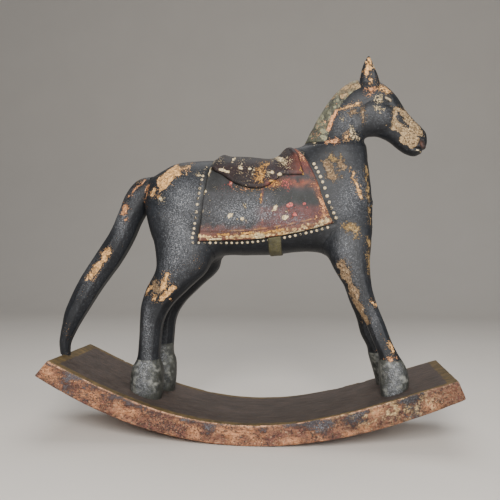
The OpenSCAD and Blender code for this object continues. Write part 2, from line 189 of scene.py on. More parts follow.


# The stations of each block, from one end to the other, as in the CAD part. They began as
# readings that a scratch program turned into millimetres, and were rounded and adjusted. The
# same is true of the lists of marks further down.
TORSO = np.array([
    [-129, 323, -137, 283, 0, 17, 2.3, 0], [-122, 326.5, -132, 262, 0, 28, 2.3, 0],
    [-112, 332, -124, 238, 0, 36.5, 2.3, 0], [-99, 338.5, -112, 221, 0, 42, 2.3, 0],
    [-82, 342, -92, 211, 0, 45, 2.3, 0], [-60, 343, -64, 213, 0, 46, 2.3, 0],
    [-34, 343, -34, 222, 0, 45.5, 2.35, 0], [-4, 342, -4, 222, 0, 44.5, 2.35, 0],
    [30, 340, 30, 223, 0, 43, 2.35, -0.03], [52, 356, 52, 225.5, 0, 42, 2.35, -0.06],
    [72, 365, 72, 226.5, 0, 40.5, 2.35, -0.08], [94, 375, 94, 224, 0, 38.5, 2.35, -0.08],
    [114, 378, 115, 218, 0, 36.5, 2.4, -0.06], [129, 376, 131.5, 218, 0, 33.5, 2.4, -0.04],
    [139.5, 370, 142.5, 224, 0, 28.5, 2.4, 0], [144.5, 345, 147.5, 236, 0, 23, 2.4, 0],
    [148.5, 318, 150, 248, 0, 17.5, 2.4, 0], [151, 300, 151.5, 264, 0, 10, 2.3, 0]])

NECK = np.array([
    [68, 359, 140, 359, 0, 25.5, 2.3, -0.12], [79, 380, 140.5, 362.5, 0, 22.5, 2.3, -0.16],
    [90.5, 400, 141.5, 366, 0, 20, 2.3, -0.18], [105.5, 421, 143, 368.5, 0, 18.3, 2.3, -0.16],
    [122, 435, 146, 370, 0, 17.6, 2.3, -0.1], [139, 440.5, 151, 370.5, 0, 18, 2.3, 0],
    [155, 440, 158, 370, 0, 19, 2.3, 0.03], [169, 431.5, 166, 367, 0, 19, 2.35, 0.03],
    [181, 419.5, 174, 362, 0, 17.3, 2.35, 0.02], [191, 404, 182, 355, 0, 14.5, 2.3, 0],
    [202, 390, 191, 348.5, 0, 12.8, 2.3, 0], [211, 380.5, 201, 345, 0, 12, 2.3, 0],
    [216.5, 373, 207.5, 346.5, 0, 10.8, 2.3, 0], [218, 364, 213, 351.5, 0, 7, 2.1, 0]])

HIND = np.array([
    [-145.5, 36, -114, 36, 26, 16.5, 2.2, 0], [-149.5, 50, -110.5, 50, 26, 18.5, 2.2, 0],
    [-150, 66, -109, 66, 26, 19.5, 2.2, 0], [-147.5, 82, -109.5, 82, 26, 18.5, 2.2, 0],
    [-141.5, 94, -113, 94, 26, 15.3, 2.2, 0], [-139, 116, -112, 116, 26, 14.5, 2.3, 0],
    [-137.5, 140, -108.5, 140, 26, 15, 2.3, 0], [-135.5, 160, -97, 160, 26.5, 16.5, 2.35, 0],
    [-128.5, 181, -75.5, 181, 27, 19, 2.4, 0], [-117, 204, -52, 204, 27.5, 21.5, 2.4, 0],
    [-117, 228, -50, 228, 28, 21.5, 2.4, 0], [-122, 252, -60, 252, 28, 20, 2.4, 0],
    [-127, 274, -72, 274, 27.5, 17.5, 2.4, 0], [-125, 289, -84, 289, 25.5, 11.5, 2.4, 0]])

FORE = np.array([
    [161, 44, 182, 44, 33, 14, 2.2, 0], [158.5, 60, 188.5, 60, 33, 16.5, 2.2, 0],
    [157, 76, 191.5, 76, 33, 17, 2.2, 0], [156, 92, 187, 92, 33, 15.2, 2.2, 0],
    [156, 104, 179.5, 104, 32.5, 12.7, 2.2, 0], [149.5, 120, 171.5, 120, 32, 12.3, 2.3, 0],
    [140.5, 142, 163, 142, 31, 12.7, 2.3, 0], [126.5, 164, 154.5, 164, 29, 14.5, 2.35, 0],
    [116, 185, 149, 185, 27, 16.5, 2.4, 0], [102, 209, 147, 209, 25, 18.5, 2.4, 0],
    [95, 232, 147.5, 232, 23.5, 18.5, 2.4, 0], [99, 251, 148, 251, 22.5, 16.5, 2.4, 0],
    [105, 266, 147.5, 266, 21, 12.5, 2.4, 0], [113, 280, 146.5, 280, 19, 7, 2.4, 0]])

TAIL = np.array([
    [-247.5, 95.5, -235.5, 91, -15, 7, 2.4, 0], [-248.5, 112, -235, 107.5, -15, 9, 2.5, 0],
    [-245, 133, -227.5, 126, -13, 11.5, 2.5, 0], [-240, 155, -216.5, 145, -10.5, 13.5, 2.5, 0],
    [-224, 190, -199, 174, -7, 15.5, 2.5, 0], [-201.5, 226, -173.5, 210, -4, 16.5, 2.5, 0],
    [-185, 252, -156, 240, -2, 17, 2.5, 0], [-172.5, 280, -146.5, 262, -1, 17.5, 2.5, 0],
    [-163, 303, -140.5, 273, 0, 17.5, 2.5, 0], [-148, 320, -138, 280, 0, 17.5, 2.4, 0],
    [-129, 324, -137, 283, 0, 17, 2.3, 0]])

EAR = np.array([
    [136, 434, 158, 432, 0, 4.5, 2.2, 0], [136.5, 441, 159, 437, 0, 5, 2.2, 0],
    [138, 451, 156.5, 446, 0, 4.6, 2.2, 0], [141.5, 461, 152, 457, 0, 3.2, 2.2, 0],
    [145.5, 467.5, 147.5, 467, 0, 0.8, 2, 0]])


def leg_rows(rows, side, shift, bow):
    """A leg on one side, stood forward by `shift` and bowed forward above its hoof."""
    posed = rows.copy()
    move = shift + bow * bell(rows[:, 1], 118, 45)
    posed[:, 0] += move
    posed[:, 2] += move
    posed[:, 4] *= side
    return posed


# ---------------------------------------------------------------- shapes
class Shape:
    """A closed mesh as points in mm with four- and three-sided faces."""

    def __init__(self, points, quads, tris=()):
        self.points = np.asarray(points, float)
        self.quads = np.asarray(quads, int).reshape(-1, 4)
        self.tris = np.asarray(tris, int).reshape(-1, 3)

    def normals(self):
        p = self.points
        total = np.zeros_like(p)
        q, t = self.quads, self.tris
        flat = np.cross(p[q[:, 2]] - p[q[:, 0]], p[q[:, 3]] - p[q[:, 1]])
        for k in range(4):
            np.add.at(total, q[:, k], flat)
        if len(t):
            flat = np.cross(p[t[:, 1]] - p[t[:, 0]], p[t[:, 2]] - p[t[:, 0]])
            for k in range(3):
                np.add.at(total, t[:, k], flat)
        return unit(total)

    def faces(self):
        return self.quads.tolist() + self.tris.tolist()

    def tree(self):
        return BVHTree.FromPolygons(self.points.tolist(), self.faces())


def ring_faces(rings, around, first=0):
    """Quads between closed rings of `around` points each."""
    k, i = np.meshgrid(np.arange(rings - 1), np.arange(around), indexing="ij")
    a = first + k * around + i
    b = first + k * around + (i + 1) % around
    return np.stack([a, a + around, b + around, b], -1).reshape(-1, 4)


FACET_GROWTH = 1.035  # makes up for what the flats take off the section
CAP_SHARES = (0.94, 0.82, 0.62, 0.36, 0.14)  # the rings of a rounded end


def tube(rows, steps, around, domes=(0.5, 0.5), facets=None):
    """A closed loft with rounded ends. Facets are (angles, weights by station): between
    those angles the section is pulled towards a flat, as a knife leaves it."""
    last = len(rows) - 1
    s = np.linspace(0, last, steps * last + 1)
    angles = np.arange(around) * 360.0 / around
    grid = on_loft(rows, s[:, None], angles[None, :])
    if facets:
        keys = np.array(facets[0] + [facets[0][0] + 360.0])
        turn = (angles - keys[0]) % 360 + keys[0]
        k = np.clip(np.searchsorted(keys, turn, side="right") - 1, 0, len(keys) - 2)
        f = ((turn - keys[k]) / (keys[k + 1] - keys[k]))[None, :, None]
        before, after = (on_loft(rows, s[:, None], keys[i][None]) for i in (k, k + 1))
        flat = before * (1 - f) + after * f
        weight = np.interp(s, np.arange(last + 1), facets[1])[:, None, None]
        middle = grid.mean(axis=1, keepdims=True)
        grid = grid * (1 - weight) + (middle + (flat - middle) * FACET_GROWTH) * weight
    rings = [grid]
    poles = []
    ends = ((grid[0], grid[1], domes[0], True), (grid[-1], grid[-2], domes[1], False))
    for end, inner, dome, at_start in ends:
        middle = end.mean(axis=0)
        out = unit(middle - inner.mean(axis=0))
        cap = [middle + (end - middle) * t + out * dome * (1 - t * t) for t in CAP_SHARES]
        poles.append(middle + out * dome)
        if at_start:
            rings.insert(0, np.array(cap[::-1]))
        else:
            rings.append(np.array(cap))
    body = np.concatenate(rings)
    count = len(body) * around
    points = np.concatenate([body.reshape(-1, 3), np.array(poles)])
    i = np.arange(around)
    j = (i + 1) % around
    base = count - around
    tris = np.concatenate([
        np.stack([np.full(around, count), i, j], -1),
        np.stack([np.full(around, count + 1), base + j, base + i], -1)])
    return Shape(points, ring_faces(len(body), around), tris)


def pad(points, normals, top, bottom):
    """A closed pad over a grid of surface points: `top` is the height at each grid point
    and `bottom` how deep its hidden underside lies."""
    n, m = points.shape[:2]
    upper = (points + normals * top[..., None]).reshape(-1, 3)
    lower = (points - normals * bottom).reshape(-1, 3)
    i, j = np.meshgrid(np.arange(n - 1), np.arange(m - 1), indexing="ij")
    a = i * m + j
    face = np.stack([a, a + m, a + m + 1, a + 1], -1).reshape(-1, 4)
    rim = np.concatenate([
        np.arange(m), np.arange(1, n) * m + m - 1,
        (n - 1) * m + np.arange(m - 2, -1, -1), np.arange(n - 2, 0, -1) * m])
    after = np.roll(rim, -1)
    size = n * m
    wall = np.stack([rim, after, after + size, rim + size], -1)
    return Shape(np.concatenate([upper, lower]), np.concatenate([face, face[:, ::-1] + size, wall]))


def fair(shape, others, reach, overlap=2.5, even=False):
    """Fills the crease where this block meets others, as gesso does, over `reach` mm. Unless
    `even`, the filling is thinner where the two surfaces run on into each other."""
    own = shape.tree()
    start = shape.points.copy()
    result = shape.points.copy()

    def level(tree, place):
        spot, facing, _, distance = tree.find_nearest(place)
        return (distance if (place - spot).dot(facing) >= 0 else -distance), facing

    for other in others:
        tree = other.tree()
        low = other.points.min(axis=0) - reach
        high = other.points.max(axis=0) + reach
        near = np.flatnonzero(np.all((start > low) & (start < high), axis=1))
        for index in near:
            place = Vector(start[index])
            depth, _ = level(tree, place)
            if depth > reach or depth < -overlap:
                continue
            keep = float(smooth(depth, -overlap, -0.3 * overlap))
            for _ in range(3):
                a, facing_a = level(own, place)
                b, facing_b = level(tree, place)
                h = max(reach - abs(a - b), 0.0) / reach
                turn = 1.0 if even else min(1.0, max(0.0, 1.15 - 1.15 * facing_a.dot(facing_b)))
                value = min(a, b) - h * h * reach / 4 * turn
                share = min(1.0, max(0.0, 0.5 + 0.5 * (b - a) / reach))
                slope = facing_a * share + facing_b * (1 - share)
                place = place - slope * (value / max(slope.length_squared, 0.05))
            result[index] += (np.array(place) - start[index]) * keep
    shape.points = result
    return shape


# ---------------------------------------------------------------- marks on a side view
def streak(points, x, z, length, width, tilt=0.0):
    """Distance in mm inside a streak with round ends in the side view: its middle, its
    size, and its slope in degrees."""
    xz = points[:, [0, 2]] - [x, z]
    along = np.array([math.cos(math.radians(tilt)), math.sin(math.radians(tilt))])
    reach = max(length - width, 0.0) / 2
    t = np.clip(xz @ along, -reach, reach)
    return width / 2 - np.linalg.norm(xz - t[:, None] * along, axis=1)


def crumbs(x, z, length, width, tilt, index, seed):
    """Small chips that have come off round a streak."""
    a = math.radians(tilt)
    grow = min(1.0, 0.25 + 0.1 * width)
    for k in range(3):
        u, v, size = (lattice(index, k, j, seed) for j in range(3))
        along, across = (u - 0.5) * 1.4 * length, (v - 0.5) * (width + 12 * grow)
        yield (
            x + along * math.cos(a) - across * math.sin(a), z + along * math.sin(a) + across * math.cos(a),
            grow * (1.4 + 2.0 * size), grow * (1.2 + 1.4 * size), 90 * u)


def marks(points, groups, wobble=2.2, seed=0, chips=True):
    """The field of all streaks, and the colour of the one that reaches furthest at each
    point. Groups are (colour, streaks). The outlines wander by about `wobble` mm."""
    bent = points.copy()
    bent[:, 0] += wobble * rough(points, 7, 3, seed + 3)
    bent[:, 2] += wobble * rough(points, 7, 3, seed + 5)
    field = np.full(len(points), -1e3)
    colour = np.tile(TAN, (len(points), 1))
    index = 0
    for tint, streaks in groups:
        for one in streaks:
            index += 1
            for part in [one, *(crumbs(*one, index, seed + 91) if chips else ())]:
                f = streak(bent, *part)
                higher = f > field
                field = np.where(higher, f, field)
                colour[higher] = tint
    return field, colour


def moved(groups, seed, shift=9.0):
    """The same kinds of marks in other places, for the side that wears differently."""
    out = []
    for g, (tint, streaks) in enumerate(groups):
        fresh = []
        for c, (x, z, length, width, tilt) in enumerate(streaks):
            dx, dz, turn = (2 * lattice(g + 11, c + 7, k, seed) - 1 for k in range(3))
            fresh.append((x + dx * shift, z + dz * shift, length, width, tilt + 20 * turn))
        out.append((tint, fresh))
    return out


def both_sides(points, groups, seed, far_groups, wobbles=(1.4, 0.9)):
    """The field and colour of the marks on the near side and of other marks on the far side."""
    field, tint = marks(points, groups, wobbles[0], seed)
    far_field, far_tint = marks(points, far_groups, wobbles[1], seed + 10)
    near = points[:, 1] < 0
    return np.where(near, field, far_field), np.where(near[:, None], tint, far_tint)


def glow(points, spots):
    """A sum of soft round spots (x, z, radius x, radius z, amount)."""
    total = np.zeros(len(points))
    for x, z, rx, rz, amount in spots:
        total += amount * np.exp(-(((points[:, 0] - x) / rx) ** 2) - ((points[:, 2] - z) / rz) ** 2)
    return total


# Where the paint is worn through on the near side: x, z, length, width and slope of each
# streak. Each list is named for its place or its colour.
RUMP_WEAR = [
    (-100, 321, 36, 17, 42), (-104, 307, 20, 6, 35), (-80, 333, 10, 3, 5), (-119, 301, 12, 5, 75)]
THIGH_WEAR = [
    (-102, 190, 26, 6, 70), (-98, 176, 26, 7, 45), (-124, 180, 16, 3, 55), (-115, 169, 4, 4, 0)]
TAIL_WEAR = [(-194, 211, 46, 7, 56)]
CHEST_WEAR = [(131, 306, 34, 3, -70)]
FORELEG_WEAR = [(150, 167, 10, 2, -40), (170, 113, 14, 4, -65)]
HEAD_WEAR = [(166, 426, 16, 3, -25), (122, 405, 28, 2, 20), (118, 366, 4, 4, 0)]
PEACH_WEAR = [
    (-162, 280, 15, 6, 60), (-147, 309, 30, 1.6, 45), (-132, 300, 26, 2, 75), (169, 101, 9, 5, -60),
    (101, 388, 28, 4, 70), (100, 361, 18, 5, 0), (148, 426, 6, 5, 0)]
OCHRE_WEAR = [
    (145, 296, 70, 2, -86), (146, 222, 40, 2, 90), (124, 255, 17, 8, -10), (-156, 315, 28, 3, 30),
    (103, 339, 14, 6, -35)]
UMBER_WEAR = [
    (98, 325, 24, 10, -70), (113, 332, 14, 7, -65), (126, 178, 84, 9, -69), (140, 393, 18, 2, 95),
    (-113, 183, 22, 8, -60), (-88, 332, 22, 3, 15), (128, 398, 8, 5, 30)]
MUZZLE_WEAR = [
    (177, 392, 22, 7, 80), (198, 384, 38, 9, -52), (190, 372, 38, 11, -40), (192, 361, 20, 6, -35),
    (199, 372, 13, 13, 0), (186, 398, 16, 5, -35)]
CREAM_WEAR = [
    (126, 372, 7, 1, -65), (115, 389, 3, 2, 0), (158, 412, 6, 1.2, 70), (160, 400, 6, 1.2, -20),
    (-62, 321, 4, 3, 0), (206, 351, 12, 1, -5), (-108, 293, 4, 2, 45), (60, 346, 6, 2, 45),
    (80, 361, 4, 1, 0)]
WORN = [
    (TAN, RUMP_WEAR + THIGH_WEAR + TAIL_WEAR + CHEST_WEAR + FORELEG_WEAR + HEAD_WEAR),
    (PEACH, PEACH_WEAR), (OCHRE, OCHRE_WEAR), (KHAKI, MUZZLE_WEAR),
    (UMBER, UMBER_WEAR), (CREAM, CREAM_WEAR)]
# Paint still on inside the worn muzzle.
KEPT_PAINT = [(183, 388, 13, 5, -50), (201, 391, 20, 2, -48), (214, 364, 12, 4, -80)]

# Where the paint is rubbed grey: x, z, radius in x, radius in z and amount.
SCUFFS = [
    (-78, 292, 32, 34, 0.9), (-84, 232, 20, 34, 0.9), (-100, 200, 14, 20, 0.5), (-126, 130, 8, 60, 0.8),
    (116, 232, 14, 22, 0.7), (128, 190, 12, 30, 0.5), (150, 145, 9, 32, 0.6), (160, 390, 20, 22, 0.5),
    (130, 300, 20, 34, 0.7), (112, 280, 14, 20, 0.45), (116, 386, 22, 26, 0.6), (-205, 200, 22, 50, 0.6),
    (-168, 270, 14, 28, 0.9), (-150, 300, 10, 12, 0.6)]
NO_LAYER = -50.0  # well outside the second colour


# ---------------------------------------------------------------- meshes for Blender
def place(name, shape, material, slot, *nodes, **fields):
    """Makes the Blender mesh of a shape, with its fields, in place of its CAD nodes."""
    mesh = bpy.data.meshes.new(name)
    mesh.from_pydata((shape.points * MM).tolist(), [], shape.faces())
    mesh.shade_smooth()
    for key, values in fields.items():
        if values.ndim == 2:
            attribute = mesh.attributes.new(key, "FLOAT_COLOR", "POINT")
            rgba = np.concatenate([values, np.ones((len(values), 1))], axis=1)
            attribute.data.foreach_set("color", rgba.astype(np.float32).ravel())
        else:
            attribute = mesh.attributes.new(key, "FLOAT", "POINT")
            attribute.data.foreach_set("value", values.astype(np.float32))
    mesh.materials.append(material)
    piece = bpy.data.objects.new(name, mesh)
    bpy.context.scene.collection.objects.link(piece)
    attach(piece, "root")
    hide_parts(*nodes)
    return piece


def cover(name, surface, height, depth, material, slot, node, **fields):
    """Lays a pad over a grid of (points, normals). Its hidden underside has the same fields."""
    doubled = {key: np.concatenate([value, value]) for key, value in fields.items()}
    place(name, pad(*surface, height, depth), material, slot, node, **doubled)


# ---------------------------------------------------------------- node materials
class Nodes:
    """Short calls for building one material's node tree."""

    def __init__(self, name):
        self.material = bpy.data.materials.new(name)
        self.material.use_nodes = True
        self.tree = self.material.node_tree
        self.tree.nodes.clear()
        self.place = self.add("ShaderNodeTexCoord").outputs["Object"]

    def add(self, kind, settings=(), **inputs):
        node = self.tree.nodes.new(kind)
        for key, value in dict(settings).items():
            setattr(node, key, value)
        for key, value in inputs.items():
            self.feed(node.inputs[key.replace("_", " ")], value)
        return node

    def feed(self, socket, value):
        if isinstance(value, bpy.types.NodeSocket):
            self.tree.links.new(value, socket)
        elif value is not None:
            socket.default_value = value

    def math(self, operation, a, b=None):
        node = self.add("ShaderNodeMath", {"operation": operation})
        self.feed(node.inputs[0], a)
        self.feed(node.inputs[1], b)
        return node.outputs[0]

    def plus(self, a, b):
        return self.math("ADD", a, b)

    def minus(self, a, b):
        return self.math("SUBTRACT", a, b)

    def times(self, a, b):
        return self.math("MULTIPLY", a, b)

    def noise(self, scale, detail=3.0, roughness=0.55, stretch=None, shift=0.0):
        vector = self.place
        if stretch or shift:
            vector = self.add(
                "ShaderNodeMapping", Vector=vector, Scale=stretch or (1, 1, 1), Location=(shift, shift, shift)
            ).outputs[0]
        return self.add(
            "ShaderNodeTexNoise", Vector=vector, Scale=scale, Detail=detail, Roughness=roughness
        ).outputs["Fac"]

    def ramp(self, value, low, high):
        node = self.add("ShaderNodeMapRange", {"interpolation_type": "SMOOTHSTEP"}, Value=value)
        self.feed(node.inputs["From Min"], low)
        self.feed(node.inputs["From Max"], high)
        return node.outputs[0]

    def mix(self, share, a, b, blend="MIX"):
        node = self.add("ShaderNodeMix", {"data_type": "RGBA", "blend_type": blend})
        self.feed(node.inputs[0], share)
        for socket, value in ((node.inputs[6], a), (node.inputs[7], b)):
            self.feed(socket, value if isinstance(value, bpy.types.NodeSocket) else (*value, 1.0))
        return node.outputs[2]

    def field(self, name, output="Fac"):
        return self.add("ShaderNodeAttribute", {"attribute_name": name}).outputs[output]

    def surface(self, colour, roughness, height, depth, **settings):
        bump = self.add("ShaderNodeBump", Height=height, Distance=depth, Strength=1.0)
        shader = self.add(
            "ShaderNodeBsdfPrincipled", Base_Color=colour, Roughness=roughness, Normal=bump.outputs[0],
            Specular_IOR_Level=0.35, **settings
        )
        self.add("ShaderNodeOutputMaterial", Surface=shader.outputs[0])
        return self.material


def painted(
        name, wander=3.6, fine=1.8, gloss=0.5, wood=0.85, grain=(1, 1, 1), flecks=1.0, mottle=0.4,
        speckle=0.7, fade=1.0, pale=0.55):
    """Old paint over gesso over wood: the fields say where it is worn, and noise gives the
    edges of the chips, the flecks, the rubbed highlights and the grain under them."""
    n = Nodes(name)
    coarse = n.minus(n.noise(230, 5, 0.7), 0.5)
    small = n.minus(n.noise(850, 3, 0.65, shift=3.1), 0.5)
    wobble = n.plus(n.times(coarse, wander * 2), n.times(small, fine * 2))
    edge = n.plus(n.field("bare"), wobble)
    worn = n.ramp(edge, -0.12 * fade, 0.16 * fade)
    amount = n.times(n.field("chips"), 0.15 * flecks)
    fleck_noise = n.noise(560, 4, 0.75, shift=7.7)
    fleck = n.ramp(n.plus(fleck_noise, amount), 0.715, 0.745)
    left_noise = n.noise(520, 5, 0.8, shift=8.3)
    left_on = n.ramp(n.plus(left_noise, n.times(amount, 0.5)), 0.6, 0.65)
    worn = n.times(worn, n.minus(1.0, n.times(left_on, 0.85)))
    bare = n.math("MAXIMUM", worn, fleck)

    # The paint: its colour, cloudy and rubbed, with dust in the rubbed parts and dark chip lips. On the
    # hooves the rubbed amount also holds a painted highlight.
    layer = n.ramp(n.plus(n.field("layer"), n.times(wobble, 0.35)), -0.2, 0.25)
    coat = n.mix(layer, n.field("coat", "Color"), n.field("coat2", "Color"))
    cloud = n.noise(150, 7, 0.78, shift=1.3)
    shade = n.add("ShaderNodeMapRange", Value=cloud)
    limits = {"From Min": 0.3, "From Max": 0.7, "To Min": 1 - mottle, "To Max": 1 + mottle}
    for key, limit in limits.items():
        shade.inputs[key].default_value = limit
    level = shade.outputs[0]
    grey = n.add("ShaderNodeCombineColor", Red=level, Green=level, Blue=level)
    coat = n.mix(1.0, coat, grey.outputs[0], "MULTIPLY")
    scuff = n.field("scuff")
    rub = n.noise(400, 6, 0.85, stretch=grain, shift=5.9)
    rubbed = n.ramp(n.plus(rub, n.times(scuff, 0.15)), 0.53, 0.72)
    coat = n.mix(n.times(rubbed, 0.75), coat, SCUFFED)
    dust = n.ramp(n.plus(n.noise(760, 3, 0.75, shift=2.7), n.times(scuff, 0.1)), 0.6, 0.7)
    coat = n.mix(n.times(dust, n.times(scuff, speckle)), coat, linear(150, 152, 156))
    lip = n.times(n.ramp(edge, -1.0, -0.1), 0.6)
    coat = n.mix(lip, coat, linear(14, 12, 11))

    # What is under the paint: grain, stains and pale flakes of gesso.
    fibre = n.noise(420, 5, 0.8, stretch=grain, shift=9.2)
    under = n.field("core", "Color")
    core = n.mix(n.ramp(fibre, 0.4, 0.58), n.mix(1.0, under, (0.5, 0.44, 0.38), "MULTIPLY"), under)
    stain = n.ramp(n.noise(300, 6, 0.82, shift=4.4), 0.47, 0.6)
    core = n.mix(n.times(stain, 0.55), core, linear(112, 88, 64))
    flake = n.ramp(n.noise(460, 5, 0.8, shift=2.2), 0.56, 0.64)
    core = n.mix(n.times(flake, pale), core, linear(248, 220, 174))

    colour = n.mix(bare, coat, core)
    sheen = n.plus(n.times(cloud, 0.24), gloss - 0.12)
    sheen = n.plus(sheen, n.times(rubbed, 0.15))
    rough_mix = n.add("ShaderNodeMix", {"data_type": "FLOAT"})
    n.feed(rough_mix.inputs[0], bare)
    n.feed(rough_mix.inputs[2], sheen)
    n.feed(rough_mix.inputs[3], wood)
    height = n.minus(n.times(n.noise(620, 5, 0.7, stretch=grain, shift=6.1), 0.55), bare)
    height = n.plus(height, n.times(cloud, 0.6))
    return n.surface(colour, rough_mix.outputs[0], height, 0.0004)


def bone():
    """Domed bone-coloured beads, some with dark paint still in and over them."""
    n = Nodes("bead_bone")
    cover = n.ramp(n.plus(n.noise(700, 4, 0.6), n.field("dirt")), 0.86, 1.0)
    pale = n.mix(n.noise(420, 3), linear(226, 212, 180), linear(176, 150, 108))
    colour = n.mix(cover, pale, linear(48, 45, 44))
    roughness = n.plus(n.times(n.noise(300, 3), 0.3), 0.3)
    return n.surface(colour, roughness, n.noise(900, 4), 0.00015)


def plain_wood(name, light, dark):
    """Bare turned wood with long fine grain, for the dowels inside."""
    n = Nodes(name)
    fibre = n.noise(260, 5, 0.65, stretch=(1, 1, 0.12))
    return n.surface(n.mix(fibre, light, dark), n.plus(fibre, 0.2), fibre, 0.0002)


def dull_steel():
    n = Nodes("screw_steel")
    wear = n.noise(500, 5, 0.7)
    colour = n.mix(n.ramp(wear, 0.5, 0.7), linear(150, 150, 152), linear(104, 84, 66))
    return n.surface(colour, n.plus(n.times(wear, 0.4), 0.2), wear, 0.0001, Metallic=0.9)


body_material = painted("horse_paint_body", grain=(0.8, 1, 1))
leg_material = painted("horse_paint_leg", grain=(1, 1, 0.6))
mane_material = painted("mane_paint", gloss=0.65, mottle=0.6, speckle=0.8)
board_material = painted(
    "board_paint", wander=5.0, fine=3.4, gloss=0.62, wood=0.7, grain=(0.25, 1, 1), mottle=0.3,
    fade=12.0, pale=0.3)
cloth_material = painted("cloth_paint", gloss=0.65, wander=2.0, fine=1.4, mottle=0.6, speckle=1.0)
seat_material = painted("seat_paint", gloss=0.6, wander=2.2, fine=1.5, mottle=0.5, speckle=0.6)
girth_material = painted("girth_paint", gloss=0.65, wander=1.5, flecks=0.8, grain=(1, 0.3, 1))


# ---------------------------------------------------------------- the carved blocks
def paint_horse(shape, near, hoof_line=None):
    """The fields of the blue-black paint and the patches worn through it. `near` is true where
    a point has the near side's marks, and a leg's hoof is painted up to `hoof_line`."""
    p, nrm = shape.points, shape.normals()
    bare_near, core_near = marks(p, WORN, seed=1)
    flaking = smooth(bare_near, -8, -0.5)
    bare_far, core_far = marks(p, moved(WORN, 5), seed=41)
    bare = np.where(near, bare_near, bare_far)
    core = np.where(near[:, None], core_near, core_far)
    kept, _ = marks(p, [(TAN, KEPT_PAINT)], wobble=1.0, chips=False)
    bare = np.where(near, np.minimum(bare, -kept), bare)
    underneath = smooth(-nrm[:, 2], 0.1, 0.7)
    facing = smooth(np.abs(nrm[:, 1]), 0.1, 0.75)
    sideways_or_up = np.abs(nrm[:, 1]) + np.maximum(nrm[:, 2], 0) * 0.8
    bare = bare - 6 * (1 - smooth(sideways_or_up, 0.1, 0.4))
    scuff = np.clip(glow(p, SCUFFS) * (0.35 + 0.65 * facing) * (1 - underneath), 0, 1)
    chips = np.clip(0.15 + 0.5 * rough(p, 26, 2, 9), 0, 1)
    chips = chips + 0.95 * flaking * (1 - underneath) * (0.3 + 0.7 * facing)
    chips = chips - 0.6 * underneath
    coat = np.tile(BLUE_BLACK, (len(p), 1))
    coat = coat * (1 + 0.35 * noise(p, 40, 21))[:, None]
    layer = np.full(len(p), NO_LAYER)
    coat2 = coat.copy()
    if hoof_line is not None:
        layer = hoof_line - p[:, 2] + 0.7 * rough(p, 9, 2, 4)
        coat2 = np.tile(HOOF, (len(p), 1)) * (1 + 0.45 * rough(p, 9, 3, 31))[:, None]
        # Pale specks on the hooves, kept to the faces that look sideways: worn paint with a painted highlight
        # in it.
        pale = smooth(rough(p, 4, 3, 77), -0.2, 0.8) * facing * smooth(p[:, 2], 44, 66)
        coat2 = tinted(coat2, linear(160, 160, 152), 0.5 * pale)
        low = smooth(layer, 0.0, 3.0)
        # The hoof is rubbed most down its middle on the faces that look sideways, and darker towards its
        # edges: rubbed paint with a painted highlight.
        middle = bell(p[:, 0], np.median(p[p[:, 2] < 90, 0]), 13)
        scuff = scuff * (1 - low) + low * (0.1 + 0.85 * facing * middle * smooth(p[:, 2], 42, 58))
        bare = bare - 4 * low * smooth(95 - p[:, 2], 0, 8)
        chips = chips * (1 - 0.8 * low)
    return dict(bare=bare, core=core, coat=coat, coat2=coat2, layer=layer, scuff=scuff, chips=chips)


def cut_back(shape, fields, depth=0.35, lumps=0.35, seed=0):
    """Carves the worn patches down to the wood and leaves the hand-carved unevenness."""
    nrm = shape.normals()
    drop = depth * smooth(fields["bare"], -0.6, 0.9)
    drop = drop + 0.1 * np.clip(fields["bare"], 0, 3) * rough(shape.points, 6, 2, 8) * 0.5
    wave = lumps * noise(shape.points, 24, seed + 2) + 0.12 * noise(shape.points, 9, seed + 3)
    shape.points = shape.points + nrm * (wave - drop)[:, None]


def oval(points, x, z, length, height, turn):
    """Distance from an oval's middle in the side view, 1 on its outline."""
    a = math.radians(turn)
    dx, dz = points[:, 0] - x, points[:, 2] - z
    along = dx * math.cos(a) + dz * math.sin(a)
    across = dz * math.cos(a) - dx * math.sin(a)
    return np.sqrt((along / length) ** 2 + (across / height) ** 2)


def carve_face(shape):
    """Eyes with lids in their sockets, cheeks, nostrils and the line of the mouth."""
    p, nrm = shape.points, shape.normals()
    side = smooth(np.abs(nrm[:, 1]), 0.15, 0.6)
    eye = oval(p, 168.8, 413.0, 5.2, 3.3, -24)
    socket = oval(p, 168.5, 412.5, 11, 8, -24)
    rise = -2.0 * bell(socket, 0, 1)
    rise += 2.6 * np.sqrt(np.clip(1 - eye**2, 0, 1))
    rise += 0.9 * bell(eye, 1.45, 0.32)
    brow = oval(p, 170, 421, 11, 3.4, -30)
    rise += bell(brow, 0, 1)
    cheek = oval(p, 153, 391, 22, 19, 20)
    rise += 1.6 * (1 - smooth(cheek, 0.55, 1.1)) - 0.9 * bell(cheek, 1.15, 0.16)
    nostril = oval(p, 210.5, 358.0, 2.1, 4.2, 24)
    rise += -2.2 * bell(nostril, 0, 1) + 1.1 * bell(nostril, 1.7, 0.45)
    mouth = streak(p, 206.5, 352.5, 19, 0, -8)
    rise_mouth = -1.1 * bell(mouth, 0, 1.3) + 0.7 * bell(mouth, -3.2, 1.6)
    front = smooth(p[:, 0], 194, 200)
    shape.points = p + nrm * (rise * side + rise_mouth * front)[:, None]
    return eye, nostril


def facet_angles(*quarter):
    """The arrises of one quarter of a section, and the same ones in the other three."""
    half = [*quarter, *(180 - angle for angle in reversed(quarter))]
    return [float(angle + turn) for turn in (0, 180) for angle in half]


# The arrises of each faceted block, and how flat the facets are at each of its stations.
LEG_FACETS = (facet_angles(18, 62), [0, 0, 0, 0.1, 0.5, 0.75, 0.8, 0.8, 0.6, 0.3, 0.1, 0, 0, 0])
TAIL_FACETS = (facet_angles(20, 75), [0.4, 0.8, 0.8, 0.8, 0.8, 0.8, 0.8, 0.7, 0.5, 0.1, 0])
LEFT_HIND_SHIFT, LEFT_FORE_SHIFT, LEFT_FORE_BOW = 4.5, 2, -12.5

